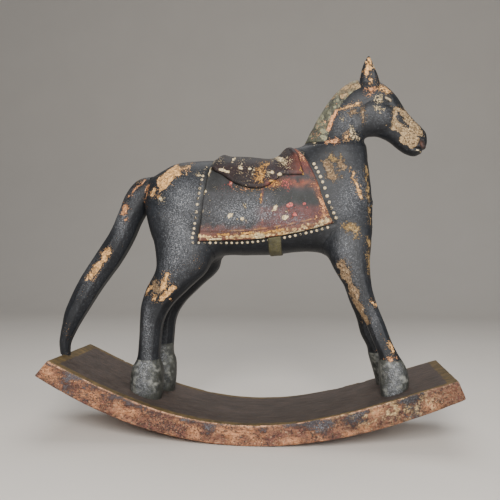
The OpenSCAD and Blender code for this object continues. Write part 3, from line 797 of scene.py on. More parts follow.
# The blocks before any sculpting, which the fillets are measured against.
NECK_FOOT = np.array([[64, 346, 140.5, 346, 0, 26.5, 2.3, -0.12]])
blocks = {
    "torso": tube(TORSO, 14, 260, (0.8, 1.2)),
    "neck_head": tube(np.concatenate([NECK_FOOT, NECK]), 12, 170, (1.0, 1.6)),
    "tail": tube(TAIL, 16, 80, (1.5, 1.0), TAIL_FACETS),
}
# The torso's top runs flat into the neck's foot, and the tip of its chest is blunted.
WITHERS_Z, WITHERS_RISE = 354.0, 4.5
CHEST_X, CHEST_CUT = 149.5, 0.75
torso_points = blocks["torso"].points
above = np.clip(torso_points[:, 2] - WITHERS_Z, 0, None)
torso_points[:, 2] += WITHERS_RISE * (1 - np.exp(-above / WITHERS_RISE)) - above
torso_points[:, 0] -= CHEST_CUT * np.clip(torso_points[:, 0] - CHEST_X, 0, None)
for label, rows, shift, bow in (
        ("rear", HIND, LEFT_HIND_SHIFT, 0), ("front", FORE, LEFT_FORE_SHIFT, LEFT_FORE_BOW)):
    for side, posed in (("left", leg_rows(rows, FAR, shift, bow)), ("right", leg_rows(rows, NEAR, 0, 0))):
        blocks[f"leg_{label}_{side}"] = tube(posed, 14, 88, (0.5, 3.0), LEG_FACETS)


def copy(shape):
    return Shape(shape.points.copy(), shape.quads, shape.tris)


LEG_NAMES = [name for name in blocks if name.startswith("leg")]
carved = {name: copy(shape) for name, shape in blocks.items()}
fair(carved["torso"], [blocks[name] for name in LEG_NAMES], 20)
fair(carved["torso"], [blocks["neck_head"]], 10, even=True)
fair(carved["torso"], [blocks["tail"]], 3)
for name in LEG_NAMES:
    fair(carved[name], [blocks["torso"]], 20)
fair(carved["neck_head"], [blocks["torso"]], 10, even=True)
fair(carved["tail"], [blocks["torso"]], 3)


def open_joints(points):
    """How deep in the open glue lines points lie: at the foot of the neck, and at the tail."""
    wander = 0.8 * noise(points, 12, 61)
    neck = bell(points[:, 2] + wander, 359.2, 0.9)
    neck = neck * smooth(points[:, 0], 66, 72) * (1 - smooth(points[:, 0], 118, 130))
    along = points[:, 0] + 130 + (321 - points[:, 2]) * 0.2
    tail = bell(along + wander, 0, 0.9) * smooth(points[:, 2], 282, 288)
    return np.maximum(neck, 0.8 * tail)


# ---------------------------------------------------------------- the edge of the saddle cloth
def cloth_low_z(x):
    return 241 + 20 * np.maximum(0, (x + 15) / 117) ** 1.7


def cloth_edges(q):
    """The rear and front edges, from q = 0 over the spine to q = 1 at the lower edge."""
    return -41.8 - 18.8 * q, 46 + 56.5 * q**1.03


def on_cloth(share, q):
    """Points and normals under the cloth, at a share of its length and q round the body."""
    rear, front = cloth_edges(np.abs(q))
    x = rear * (1 - share) + front * share
    s = station_at_x(TORSO, x)
    angle = q * angle_at_z(TORSO, s, cloth_low_z(x))
    return on_loft(TORSO, s, angle), loft_normal(TORSO, s, angle)


def body_trees():
    """The carved torso and legs as they are now, ready to be measured against."""
    return [carved[name].tree() for name in ["torso"] + LEG_NAMES]


def over_legs(points, facing):
    """Moves points of the torso out to whatever carved surface covers them."""
    start_out, search = 22, 40
    skin = body_trees()
    flat, out = points.reshape(-1, 3).copy(), facing.reshape(-1, 3)
    for k in range(len(flat)):
        start = Vector(flat[k] + out[k] * start_out)
        hits = [tree.ray_cast(start, Vector(-out[k]), search) for tree in skin]
        reach = [hit[3] for hit in hits if hit[0] is not None]
        if reach:
            flat[k] += out[k] * (start_out - min(reach))
    return flat.reshape(points.shape)


CLOTH_ROWS, CLOTH_COLUMNS = 151, 233
cloth_share = np.linspace(0, 1, CLOTH_ROWS)[:, None]
cloth_q = np.linspace(-1, 1, CLOTH_COLUMNS)[None, :]
cloth_base, cloth_facing = on_cloth(cloth_share, cloth_q)
cloth_base = over_legs(cloth_base, cloth_facing)
cloth_rim = KDTree(2 * (CLOTH_ROWS + CLOTH_COLUMNS))
for spot in np.concatenate([cloth_base[0], cloth_base[-1], cloth_base[:, 0], cloth_base[:, -1]]):
    cloth_rim.insert(spot, 0)
cloth_rim.balance()


def crease(points):
    """How deep in the groove round the cloth points lie. The groove is darkened with painted shade."""
    away = np.full(len(points), 50.0)
    low, high = cloth_base.min(axis=(0, 1)) - 8, cloth_base.max(axis=(0, 1)) + 8
    for k in np.flatnonzero(np.all((points > low) & (points < high), axis=1)):
        away[k] = cloth_rim.find(points[k])[2]
    return bell(away, 1.6, 1.7)


def paint_face(points, fields, eye, nostril):
    """Dark eyes with a glint and a darker lid line, and reddish nostrils."""
    glint = smooth(streak(points, 169.5, 413, 9, 2.4, -30), -0.5, 0.5)
    ball = tinted(linear(12, 11, 11), linear(168, 150, 122), glint)
    coat = tinted(fields["coat"], ball, smooth(1.05 - eye, 0.0, 0.1))
    coat = shaded(coat, 0.8 * bell(eye, 1.18, 0.14))
    fields["coat"] = tinted(coat, linear(84, 56, 46), bell(nostril, 0, 1))
    fields["bare"] = fields["bare"] - 8 * smooth(1.6 - eye, 0, 0.3) - 9 * smooth(1.5 - nostril, 0, 0.5)
    fields["chips"] = fields["chips"] - 2 * smooth(1.4 - eye, 0, 0.3)


HOOF_LINES = {"leg_rear_right": 92.5, "leg_rear_left": 105, "leg_front_right": 98.5, "leg_front_left": 97}
GROOVE_DEPTH = 0.9


def finish_block(name, shape):
    """Paints one carved block, opens its joints, darkens its grooves and cuts its worn patches back. The
    darkening of the crease round the cloth is painted shade; the open glue lines are dark joints.
    """
    nrm = shape.normals()
    if name in HOOF_LINES:
        right = name.endswith("right")
        outward = nrm[:, 1] * (NEAR if right else FAR) > -0.25
        fields = paint_horse(shape, np.full(len(nrm), right), HOOF_LINES[name])
        fields["bare"] = np.where(outward, fields["bare"], -20.0)
    else:
        face = carve_face(shape) if name == "neck_head" else None
        fields = paint_horse(shape, nrm[:, 1] < 0.2)
    groove = np.zeros(len(nrm)) if name in HOOF_LINES else open_joints(shape.points)
    if name == "torso" or name in HOOF_LINES:
        groove = np.maximum(groove, crease(shape.points))
    shape.points = shape.points - shape.normals() * (GROOVE_DEPTH * groove)[:, None]
    # Painted shade darkens the crease round the cloth; the open glue lines at the neck and tail are dark
    # joints.
    fields["coat"] = shaded(fields["coat"], 0.85 * groove)
    fields["scuff"] = fields["scuff"] * (1 - groove)
    if name == "neck_head":
        paint_face(shape.points, fields, *face)
    cut_back(shape, fields, seed=1)
    material = body_material if name in ("torso", "neck_head") else leg_material
    place("horse_" + name, shape, material, "horse_paint", name, **fields)


for name, shape in carved.items():
    finish_block(name, shape)


# ---------------------------------------------------------------- ears
EAR_ROOT = [136, 423, 157, 421, 0, 4.0, 2.2, 0]
EAR_TUCK = 6.0  # how far the root leans in under the poll
EAR_Y, EAR_FOOT_Z, EAR_TALL = 12, 434, 33
EAR_WORN = [
    (TAN, [(148, 460, 12, 5, -60), (144, 450, 16, 5, 80), (150, 450, 10, 5, -45), (148, 438, 5, 4, 0)]),
    (CREAM, [(150, 457, 10, 2, -75)])]
EAR_KEPT = [(150, 459, 10, 2, 90), (152, 447, 9, 6, -60)]


def build_ear(name, side):
    root = np.array([EAR_ROOT])
    root[:, 4] -= EAR_TUCK * side
    shape = tube(np.concatenate([root, EAR]), 12, 56, (1.0, 0.3))
    p, nrm = shape.points, shape.normals()
    height = (p[:, 2] - EAR_FOOT_Z) / EAR_TALL
    hollow = bell(p[:, 0], 148.2 + 0.4 * height, 4.6 - 3.2 * height) * smooth(height, 0.05, 0.25)
    outer = smooth(nrm[:, 1] * side, 0.1, 0.6)
    shape.points = p - nrm * (1.7 * hollow * outer * (1 - smooth(height, 0.75, 1.0)))[:, None]
    shape.points[:, 1] += EAR_Y * side
    fair(shape, [carved["neck_head"]], 5)

    fields = paint_horse(shape, np.full(len(p), False))
    fields["bare"], fields["core"] = marks(shape.points, EAR_WORN, wobble=0.8)
    spots, _ = marks(shape.points, [(TAN, EAR_KEPT)], wobble=0.5, chips=False)
    fields["bare"] = np.minimum(fields["bare"], -1.5 * spots)
    fields["chips"] = np.full(len(p), 0.7)
    cut_back(shape, fields, depth=0.25, lumps=0.1)
    place("horse_" + name, shape, body_material, "horse_paint", name, **fields)


build_ear("ear_right", NEAR)
build_ear("ear_left", FAR)


# ---------------------------------------------------------------- coverings on the body
def edge_round(gap, radius):
    """A quarter-round edge: 0 at the edge and 1 beyond the radius."""
    t = np.clip(gap / radius, 0, 1)
    return np.sqrt(np.clip(1 - (1 - t) ** 2, 0, 1))


# Painted sprigs on the near side: colour, then x, z, length, width and slope of each stroke.
SPRIGS = [
    (PINK, [(50, 282, 9, 4, 20), (56, 273, 6, 4, -60), (-20, 309, 7, 4, 75), (69, 284, 3, 3, 0)]),
    (PEACH, [(-9, 309, 8, 5, -55), (82, 268, 2, 2, 0), (87, 287, 9, 2, -70)]),
    (CREAM, [
        (-21, 271, 6, 4, 45), (-7, 266, 6, 5, 45), (34, 279, 8, 4, 65), (45, 268, 6, 4, -45),
        (-4, 283, 3, 3, 0)])]
# What is left of the cream ground and the gold on the hem and along the rear edge.
HEM_WEAR = [
    (CREAM, [
        (-40, 243, 16, 3, 2), (14, 246, 12, 5, 0), (59, 250, 20, 5, 15), (84, 258, 12, 3, 18),
        (-47, 323, 14, 1, 80), (-51, 300, 4, 3, 0)]),
    (GOLD, [(-30, 249, 16, 2, 3), (17, 291, 12, 1.4, 90), (30, 252, 30, 2, 6), (-2, 250, 14, 2, 2)])]
CLOTH_MARKS = SPRIGS + HEM_WEAR


# Spots where the cloth is rubbed and chipped: x, z, radius in x, radius in z and amount.
CLOTH_SCUFFS = [(-20, 272, 34, 24, 0.8), (55, 266, 30, 12, 0.6), (20, 280, 30, 20, 0.5)]
CLOTH_CHIPS = [
    (40, 309, 34, 6, 0.9), (92, 285, 8, 34, 1.3), (66, 340, 12, 12, 1.4), (-5, 303, 30, 7, 0.7),
    (20, 248, 80, 5, 0.8)]
CORD_PITCH, TWIST_PITCH = 3.0, 3.4


def cloth_colours(flat, low, ahead, behind, gap, cloud, patchy):
    """The paint of the cloth, from distances in from its lower, front and rear edges. It holds painted shadow
    under the seat's edge, and painted shade along the cloth's edges and in the hollow above the corded band.
    """
    fx, fz = flat[:, 0], flat[:, 2]
    base = np.tile(linear(45, 45, 47), (len(flat), 1)) * (1 + 0.25 * patchy)[:, None]
    red_field = smooth(fx + 12 * cloud, 2, 34) * (1 - smooth(fz + 5 * cloud, 276, 286))
    hem = smooth(fx, -62, -50) * (1 - smooth(low + 2 * patchy, 9, 13))
    # Painted shadow: darker cloth just under the seat's edge and towards the rear.
    seat_shadow = smooth(fz + 4 * cloud, 294, 304) * (1 - smooth(fx, 30, 60))
    dark_band = smooth(fx, 26, 40) * bell(fz + 5 * cloud, 291, 9)
    orange_band = smooth(fx + 3 * patchy, 22, 30) * bell(fz + 2 * cloud, 309, 4.5)
    upright = bell(fx - 1.2 * cloud, 17.4, 1.3) * smooth(fz, 258, 264) * (1 - smooth(fz, 300, 306))
    gold_line = bell(low, 12.2, 0.5) * smooth(fx, -30, -18) * smooth(patchy, -0.5, 0.2)
    for colour, share in (
            (linear(98, 54, 50), 0.75 * red_field),
            (linear(104, 62, 54), 0.7 * smooth(262 - fz + 5 * patchy, 0, 10)),
            (linear(112, 70, 50), 0.5 * hem),
            (linear(26, 26, 25), 0.8 * seat_shadow),
            (linear(34, 36, 33), 0.7 * dark_band),
            (linear(134, 72, 46), (0.55 + 0.5 * patchy) * orange_band),
            (linear(82, 38, 34), 0.8 * smooth(fz + 5 * patchy, 316, 324) * smooth(fx, 40, 48)),
            (linear(122, 68, 46), (0.3 + 0.6 * patchy) * (1 - smooth(ahead + 3 * patchy, 4, 9))),
            (linear(140, 72, 54), 0.6 * upright * smooth(patchy, -0.4, 0.5)),
            (linear(206, 150, 78), 0.7 * gold_line),
            (linear(196, 176, 140), 0.5 * bell(behind, 2.0, 0.5) * smooth(patchy, -0.1, 0.5))):
        base = tinted(base, colour, share)
    # Painted shade along the cloth's rounded edges, and a painted shade line in the hollow between the corded
    # band and the ridge above it.
    base = shaded(base, 0.8 * (1 - smooth(gap, 0.1, 1.2)))
    return shaded(base, 0.5 * bell(low, 10.3, 0.7))


def build_cloth():
    points, q = cloth_base, np.abs(cloth_q)
    rear, front = cloth_edges(q)
    x = points[..., 0]
    from_rear, from_front = x - rear, front - x
    from_low = points[..., 2] - cloth_low_z(x)
    gap = np.minimum(np.minimum(from_rear, from_front), np.maximum(from_low, (1 - q) * 110))
    flat = points.reshape(-1, 3)
    cords = np.abs(np.sin(np.clip(from_low - 1.0, 0, 9) * math.pi / CORD_PITCH))
    twist = np.sin((x + 0.9 * points[..., 2]) * 2 * math.pi / TWIST_PITCH)
    band = smooth(from_low, 0.8, 2.0) * (1 - smooth(from_low, 8.6, 9.8))
    top = 2.3 * edge_round(gap, 1.4) + band * (0.25 + 0.3 * cords + 0.15 * twist)
    top = top + 0.4 * bell(from_low, 12.0, 0.8)
    top = top + 0.3 * bell(from_rear, 2.2, 0.8) * smooth(from_low, 10, 14)
    top = top + 0.18 * rough(flat, 7, 3, 51).reshape(x.shape)
    spots, tint = both_sides(flat, CLOTH_MARKS, 3, moved(CLOTH_MARKS, 9, 4))
    top = top + 0.25 * smooth(spots, -0.3, 0.6).reshape(x.shape) * (gap > 1.5)

    low, ahead, behind = (away.reshape(-1) for away in (from_low, from_front, from_rear))
    cloud, patchy = rough(flat, 18, 3, 71), rough(flat, 6, 3, 72)
    coat = cloth_colours(flat, low, ahead, behind, gap.reshape(-1), cloud, patchy)
    golden = np.minimum(low - 0.6, 9.4 - low) + 3.2 * rough(flat, 3.5, 3, 81) - 2.0
    golden = golden - 1.2 * (1 - smooth(flat[:, 0], -34, -14))
    bright = smooth(rough(flat, 2.6, 3, 91), -0.5, 0.6)
    coat2 = tinted(linear(112, 74, 50), linear(238, 200, 136), bright)
    # The gold cord is darker in the grooves between the cords: painted shade.
    coat2 = coat2 * (0.7 + 0.3 * smooth(cords.reshape(-1), 0.2, 0.9))[:, None]
    cover(
        "saddle_cloth_carved", (points, cloth_facing), top, 0.7, cloth_material, "cloth_paint",
        "saddle_cloth", bare=spots, core=tint, coat=coat, coat2=coat2, layer=golden,
        scuff=np.clip(glow(flat, CLOTH_SCUFFS), 0, 1),
        chips=np.clip(0.35 + 0.5 * rough(flat, 16, 2, 15), 0, 1) + glow(flat, CLOTH_CHIPS))


SEAT_MARKS = [
    (CREAM, [
        (40, 337, 11, 6, -20), (46, 330, 5, 4, 0), (-9, 326, 6, 3, -30), (1, 325, 5, 3, 30),
        (30, 319, 6, 4, -35), (39, 319, 4, 4, 0), (-19, 338, 4, 4, 0), (-29, 323, 14, 3, -20)]),
    (GOLD, [(16, 317, 20, 2, -75), (20, 330, 9, 2, 10), (41, 311, 30, 2, 5), (66, 321, 12, 1, -60)])]


def seat_low_z(x):
    bend = np.maximum(0, 1 - ((x - 10) / np.where(x < 10, 40, 30)) ** 2)
    return 318 - 16 * bend + 0.5 * np.maximum(0, -30 - x)


def build_seat():
    rows, columns = 113, 191
    share = np.linspace(0, 1, rows)[:, None]
    q = np.linspace(-1, 1, columns)[None, :]
    rear = -35 - 11 * np.abs(q)
    front = 42 + 26 * np.abs(q) ** 0.7
    x = rear * (1 - share) + front * share
    s = station_at_x(TORSO, x)
    angle = q * angle_at_z(TORSO, s, seat_low_z(x))
    points, facing = on_loft(TORSO, s, angle), loft_normal(TORSO, s, angle)
    from_end = np.minimum(x - rear, front - x)
    gap = np.minimum(from_end, (1 - np.abs(q)) * 58)
    flat = points.reshape(-1, 3)
    top = 2.4 + 2.7 * edge_round(gap, 2.2)
    top = top + 1.5 * (1 - smooth(x - rear, 3, 13)) * edge_round(gap, 2.2)
    top = top + 0.7 * bell(gap, 3.6, 1.3) + 0.18 * rough(flat, 8, 3, 33).reshape(x.shape)
    spots, tint = both_sides(flat, SEAT_MARKS, 4, moved(SEAT_MARKS, 12, 4))
    top = top + 0.35 * smooth(spots, -0.3, 0.8).reshape(x.shape) * (gap > 1.5)

    fx, fz = flat[:, 0], flat[:, 2]
    cloud = rough(flat, 14, 3, 41)
    coat = np.tile(linear(32, 15, 14), (len(flat), 1)) * (1 + 0.5 * cloud)[:, None]
    coat = shaded(coat, 0.6 * smooth(fz, 326, 336) * (1 - 0.6 * smooth(fx, 20, 40)))
    warm = 0.8 * smooth(fx + 8 * cloud, 18, 30) * (1 - smooth(fz + 4 * cloud, 310, 316))
    warm = np.maximum(warm, 0.5 * smooth(fx - 48 + 10 * cloud, 4, 20))
    coat = tinted(coat, linear(110, 56, 43), warm)
    # A painted highlight on the upward-facing crown of the seat.
    crown_highlight = smooth(facing.reshape(-1, 3)[:, 2], 0.9, 0.97) * smooth(cloud, -0.8, 0.2)
    coat = tinted(coat, linear(128, 112, 92), 0.12 * crown_highlight)
    # Painted shade along the seat's rounded edges.
    coat = shaded(coat, 0.8 * (1 - smooth(gap.reshape(-1), 0.2, 1.6)))
    chips = np.clip(0.5 + 0.6 * rough(flat, 12, 2, 16), 0, 1)
    cover(
        "saddle_seat_carved", (points, facing), top, -1.2, seat_material, "seat_paint",
        "saddle_seat", bare=spots, core=tint, coat=coat, coat2=coat,
        layer=np.full(len(flat), NO_LAYER), scuff=np.clip(glow(flat, [(40, 318, 30, 14, 0.35)]), 0, 1),
        chips=chips + glow(flat, [(40, 334, 14, 8, 0.9), (16, 318, 8, 16, 0.8)]))


def build_girth():
    rows, columns = 21, 151
    middle_x, width = 31, 16
    x = middle_x + width * (np.linspace(0, 1, rows)[:, None] - 0.5) * np.ones((1, columns))
    s = station_at_x(TORSO, x)
    start = angle_at_z(TORSO, s, cloth_low_z(x) - 0.4)
    angle = start + (360 - 2 * start) * np.linspace(0, 1, columns)[None, :]
    points, facing = on_loft(TORSO, s, angle), loft_normal(TORSO, s, angle)
    gap = width / 2 - np.abs(x - middle_x)
    flat = points.reshape(-1, 3)
    top = 1.8 * edge_round(gap, 1.3) + 0.25 * bell(gap, 2.6, 0.7)
    stitch = (np.sin(angle * 1.6) > 0.2) * bell(gap, 4.2, 0.6)
    top = top + 0.3 * stitch + 0.1 * rough(flat, 6, 2, 23).reshape(x.shape)
    cloud = rough(flat, 10, 3, 43)
    coat = np.tile(linear(80, 76, 52), (len(flat), 1)) * (1 + 0.5 * cloud)[:, None]
    # Painted shade along the girth's rounded edges.
    coat = shaded(coat, 0.6 * (1 - smooth(gap.reshape(-1), 0.2, 1.4)))
    cover(
        "girth_strap_carved", (points, facing), top, 0.6, girth_material, "girth_paint",
        "girth_strap", bare=-4 + 4 * cloud, core=np.tile(linear(150, 138, 98), (len(flat), 1)),
        coat=coat, coat2=coat, layer=np.full(len(flat), NO_LAYER),
        scuff=np.full(len(flat), 0.25), chips=np.full(len(flat), 0.6))


MANE_MARKS = [
    (KHAKI, [(125, 430, 24, 6, 5), (117, 419, 12, 5, 30), (95, 408, 5, 4, 0), (104, 418, 4, 3, 0)]),
    (PEACH, [(102, 388, 30, 5, 68)])]


def build_mane():
    rows, columns = 151, 97
    length, half_width = 110, 24
    along = np.linspace(0, 1, rows)[:, None]
    across = np.linspace(-1, 1, columns)[None, :]
    s = 0.15 + 4.6 * along * np.ones_like(across)
    angle = 76 * (1 - 0.35 * along) * across
    points, facing = on_loft(NECK, s, angle), loft_normal(NECK, s, angle)
    flat = points.reshape(-1, 3)
    gap_side = (1 - np.abs(across)) * half_width + 0.8 * rough(flat, 9, 2, 63).reshape(s.shape)
    gap = np.minimum(gap_side, np.minimum(along, 1 - along) * length)
    top = 2.3 * edge_round(gap, 3.0) * (0.65 + 0.35 * smooth(gap_side, 0, 10))
    slant = along * length + np.abs(across) * half_width
    combed = np.stack([slant, 6 * np.abs(across) + 0 * slant, 0 * slant], -1)
    locks = np.clip(1.6 * noise(combed, 4.2, 88), -1, 1)
    strands = noise(combed, 1.5, 89)
    top = top + smooth(gap, 1.0, 4) * (0.24 * locks + 0.1 * strands)

    spots, tint = both_sides(flat, MANE_MARKS, 5, moved(MANE_MARKS, 15), (1.2, 1.2))
    cloud, fine = rough(flat, 8, 3, 45), strands.reshape(-1)
    coat = linear(70, 70, 54) * (1 + 0.45 * cloud + 0.25 * fine)[:, None]
    coat = tinted(coat, linear(132, 112, 80), 0.7 * smooth(flat[:, 2] + 6 * cloud, 414, 426))
    # Painted shade in the hollows between the carved locks, and along the mane's edges.
    coat = shaded(coat, 0.3 * smooth(-locks.reshape(-1), 0.2, 1.0))
    coat = shaded(coat, 0.5 * (1 - smooth(gap.reshape(-1), 0.3, 2.0)))
    cover(
        "mane_carved", (points, facing), top, 0.6, mane_material, "mane_paint", "mane", bare=spots,
        core=tint, coat=coat, coat2=np.tile(linear(128, 126, 98), (len(flat), 1)),
        layer=rough(flat, 5, 3, 99) * 3 + 1.2 * fine - 0.9, scuff=np.full(len(flat), 0.35),
        chips=np.clip(0.6 + 0.6 * rough(flat, 12, 2, 18), 0, 1))


build_cloth()
build_seat()
build_girth()
build_mane()


# ---------------------------------------------------------------- bead trim
BEAD_HEIGHT, BEAD_SUNK = 1.5, 0.05
BEAD_PITCH, BEAD_STEP = 6.5, 0.045
BEAD_RINGS, BEAD_AROUND = 7, 18
bead_material = bone()
worn_body = body_trees()


def on_skin(x, z, side):
    """The outermost carved surface at (x, z) on one side, with its normal."""
    start, inward = Vector((x, 90.0 * side, z)), Vector((0, -side, 0))
    hits = [tree.ray_cast(start, inward, 88) for tree in worn_body]
    nearest = min((hit for hit in hits if hit[0] is not None), key=lambda hit: hit[3])
    return np.array(nearest[0]), np.array(nearest[1])


def bead(middle, up, radius, tall, first):
    """The points and faces of one dome, with `first` as the number of its first point."""
    one = unit(np.cross(up, [0.3, 0.1, 1.0]))
    two = np.cross(up, one)
    points = []
    for bend in math.pi / 2 * np.arange(BEAD_RINGS) / BEAD_RINGS:
        reach, lift = radius * math.cos(bend), tall * math.sin(bend) - BEAD_SUNK
        for t in np.arange(BEAD_AROUND) * 2 * math.pi / BEAD_AROUND:
            points.append(middle + (one * math.cos(t) + two * math.sin(t)) * reach + up * lift)
    points += [middle + up * (tall - BEAD_SUNK), middle - up * 0.4]
    i = np.arange(BEAD_AROUND)
    j = (i + 1) % BEAD_AROUND
    peak = first + BEAD_RINGS * BEAD_AROUND
    top = np.stack([np.full(BEAD_AROUND, peak), peak - BEAD_AROUND + i, peak - BEAD_AROUND + j], -1)
    bottom = np.stack([np.full(BEAD_AROUND, peak + 1), first + j, first + i], -1)
    return points, ring_faces(BEAD_RINGS, BEAD_AROUND, first)[:, ::-1], [top, bottom]


def bead_row(name, places, diameter, bright):
    """Domed beads at (x, z) on both sides. `bright` gives how clean the bead at a height is."""
    points, quads, tris, dirt = [], [], [], []
    for k, (x, z) in enumerate(places):
        for side in (FAR, NEAR):
            clean = bright(z, lattice(k, side + 5, 3, 77))
            radius = diameter / 2 * (0.92 + 0.14 * lattice(k, side + 5, 9, 77))
            tall = BEAD_HEIGHT * (0.72 + 0.28 * clean)
            dome, faces, ends = bead(*on_skin(x, z, side), radius, tall, len(points))
            points += dome
            quads.append(faces)
            tris += ends
            dirt += [0.62 - 0.5 * clean] * len(dome)
    shape = Shape(np.array(points), np.concatenate(quads), np.concatenate(tris))
    place(name + "_domes", shape, bead_material, "bead_ivory", name, dirt=np.array(dirt))


def beside(share, first_q, count, gap):
    """Places in a line beside one end of the cloth, from the top down."""
    q = first_q + BEAD_STEP * np.arange(count)
    edge, _ = on_cloth(np.full(count, share), q)
    return [(x + gap, z) for x, _, z in edge]


def front_clean(z, luck):
    return 0.65 + 0.35 * luck if z > 287 else 0.2 + 0.4 * luck


def rear_clean(z, luck):
    return 0.95 if z < 262 else 0.1 + 0.4 * luck


bead_row("beads_front", beside(1.0, 0.5, 11, 6.0), 4.0, front_clean)
bottom_places = [(x, cloth_low_z(x) - 3.4) for x in np.arange(-66.5, 99.1, BEAD_PITCH)]
bead_row("beads_bottom", bottom_places, 3.4, lambda z, luck: 0.3 + 0.5 * luck)
bead_row("beads_rear", beside(0.0, 0.3, 16, -6.3), 3.7, rear_clean)


# ---------------------------------------------------------------- rocker board
BOARD_HALF, BOARD_EDGE = 70.0, 1.7
BOARD_REAR, BOARD_FRONT, BOARD_TOP = 258.0, 250.0, 241.0
BOARD_LENGTH = BOARD_REAR + BOARD_FRONT
BOARD_RINGS = 262


def board_column(share):
    """The bottom and top points (x, z) of the board at a share of its length."""
    bottom_x = -BOARD_REAR + BOARD_LENGTH * share
    top_x = -BOARD_TOP + 2 * BOARD_TOP * share
    bottom = np.stack([bottom_x, board_bottom_z(bottom_x)], -1)
    return bottom, np.stack([top_x, board_top_z(top_x)], -1)


def board_outline():
    """The cross-section with rounded edges, as (y, height in mm beyond u, share u of the
    thickness). The second half is the first one turned over."""
    r = BOARD_EDGE
    flat = BOARD_HALF - r
    corner = np.radians([18, 36, 54, 72])
    half = [(y, 0.0, 0.0) for y in np.linspace(-flat, flat, 71)]
    half += [(flat + r * math.sin(c), r * (1 - math.cos(c)), 0.0) for c in corner]
    half += [(BOARD_HALF, r * (1 - 2 * u), u) for u in np.linspace(0, 1, 19)]
    half += [(flat + r * math.cos(c), -r * (1 - math.sin(c)), 1.0) for c in corner]
    return np.array(half + [(-y, -up, 1 - u) for y, up, u in half])


def board_end(ring, middle, out):
    """Rings that round the edge of one end and close it in a seam across the middle."""
    seam_inset = 12.5
    seam_y = np.clip(ring[:, 1], -BOARD_HALF + seam_inset, BOARD_HALF - seam_inset)
    seam = np.stack([np.full(len(ring), middle[0]), seam_y, np.full(len(ring), middle[1])], -1)
    inward = unit(seam - ring)
    r = BOARD_EDGE
    cap = [ring + inward * r * (1 - math.cos(a)) + out * r * math.sin(a) for a in np.radians([30, 60, 90])]
    base = cap[-1]
    return cap + [base + (seam + out * r - base) * f for f in (0.12, 0.28, 0.46, 0.64, 0.82, 1.0)]


def board_mesh():
    outline = board_outline()
    margin = BOARD_EDGE / BOARD_LENGTH
    low, high = board_column(np.linspace(margin, 1 - margin, BOARD_RINGS))
    column = high - low
    level = outline[:, 2] + outline[:, 1] / np.linalg.norm(column, axis=1, keepdims=True)
    xz = low[:, None, :] + column[:, None, :] * level[..., None]
    body = np.stack([xz[..., 0], np.broadcast_to(outline[:, 0], level.shape), xz[..., 1]], -1)
    caps = []
    for end, inner in ((0, 1), (-1, -2)):
        along = low[end] - low[inner]
        out = unit(np.array([along[0], 0, along[1]]))
        caps.append(board_end(body[end], (low[end] + high[end]) / 2, out))
    grid = np.concatenate([caps[0][::-1], body, caps[1]])
    return Shape(grid.reshape(-1, 3), ring_faces(len(grid), len(outline))[:, ::-1])


PIT_PLACES = ((-131, -26), (-131 + LEFT_HIND_SHIFT, 26), (175, -33), (175, 33))
PIT_RADIUS, PIT_DEPTH = 4.7, 3.15


def sink_pits(shape, under):
    """Screw pits in the underside, one below each hoof, with points drawn to their rims."""
    for x, y in PIT_PLACES:
        slope = (board_bottom_z(x + 1) - board_bottom_z(x - 1)) / 2
        axis = unit(np.array([-slope, 0, 1.0]))
        from_pit = shape.points - np.array([x, y, board_bottom_z(x)])
        deep = from_pit @ axis
        flat = from_pit - deep[:, None] * axis
        far = np.linalg.norm(flat, axis=1)
        near = (np.abs(deep) < 4) & (under > 0.5)
        pull = near & (far > PIT_RADIUS - 1.3) & (far < PIT_RADIUS + 1.5)
        rim = np.where(far < PIT_RADIUS, PIT_RADIUS - 0.08, PIT_RADIUS + 0.08)
        shape.points[pull] += flat[pull] * ((rim - far) / np.maximum(far, 1e-6))[pull, None]
        shape.points[near & (far < PIT_RADIUS)] += axis * PIT_DEPTH


# Paint on the board's side: x, z, radius in x, radius in z and amount. It is darkest in the
# first list, more is left in the second and less in the third, and pale flakes show in the last.
SIDE_DARK = [(188, 54, 40, 18, 1.15), (130, 38, 24, 14, 0.7), (85, 27, 24, 12, 0.6)]
SIDE_LEFT = [
    (190, 55, 18, 12, 5.0), (131, 36, 14, 10, 4.6), (84, 26, 18, 9, 3.8), (-215, 76, 30, 18, 2.4),
    (-150, 48, 40, 12, 1.2), (-60, 12, 40, 14, 1.0)]
SIDE_LOST = [
    (235, 90, 22, 26, 6.0), (160, 48, 9, 12, 2.4), (108, 32, 8, 12, 2.4), (40, 16, 24, 14, 1.6),
    (-170, 40, 22, 14, 1.6)]
SIDE_CHIPPED = [(185, 54, 34, 14, 1.0), (135, 38, 40, 10, 0.8)]


def side_wood(p, level, cloud):
    """The wood of the board's side: reddish, with a painted highlight along the arris, and rosy towards the
    front.
    """
    warm = smooth(rough(p * [0.6, 1, 1], 9, 4, 37) + 0.25 * rough(p, 2.5, 2, 38), -0.7, 0.9)
    core = tinted(linear(100, 62, 54), linear(190, 132, 94), warm)
    # Paler wood along the top arris: a painted highlight.
    core = tinted(core, linear(222, 172, 138), 0.7 * smooth(level, 0.88, 0.96))
    chipped = glow(p, SIDE_CHIPPED) * smooth(rough(p, 4, 2, 47), 0.1, 0.4)
    core = tinted(core, linear(236, 204, 150), chipped)
    core = tinted(core, linear(92, 54, 46), 0.7 * smooth(p[:, 0] + 12 * cloud, 205, 232))
    return core * (1.1 - 0.3 * smooth(p[:, 0], 60, 150))[:, None]


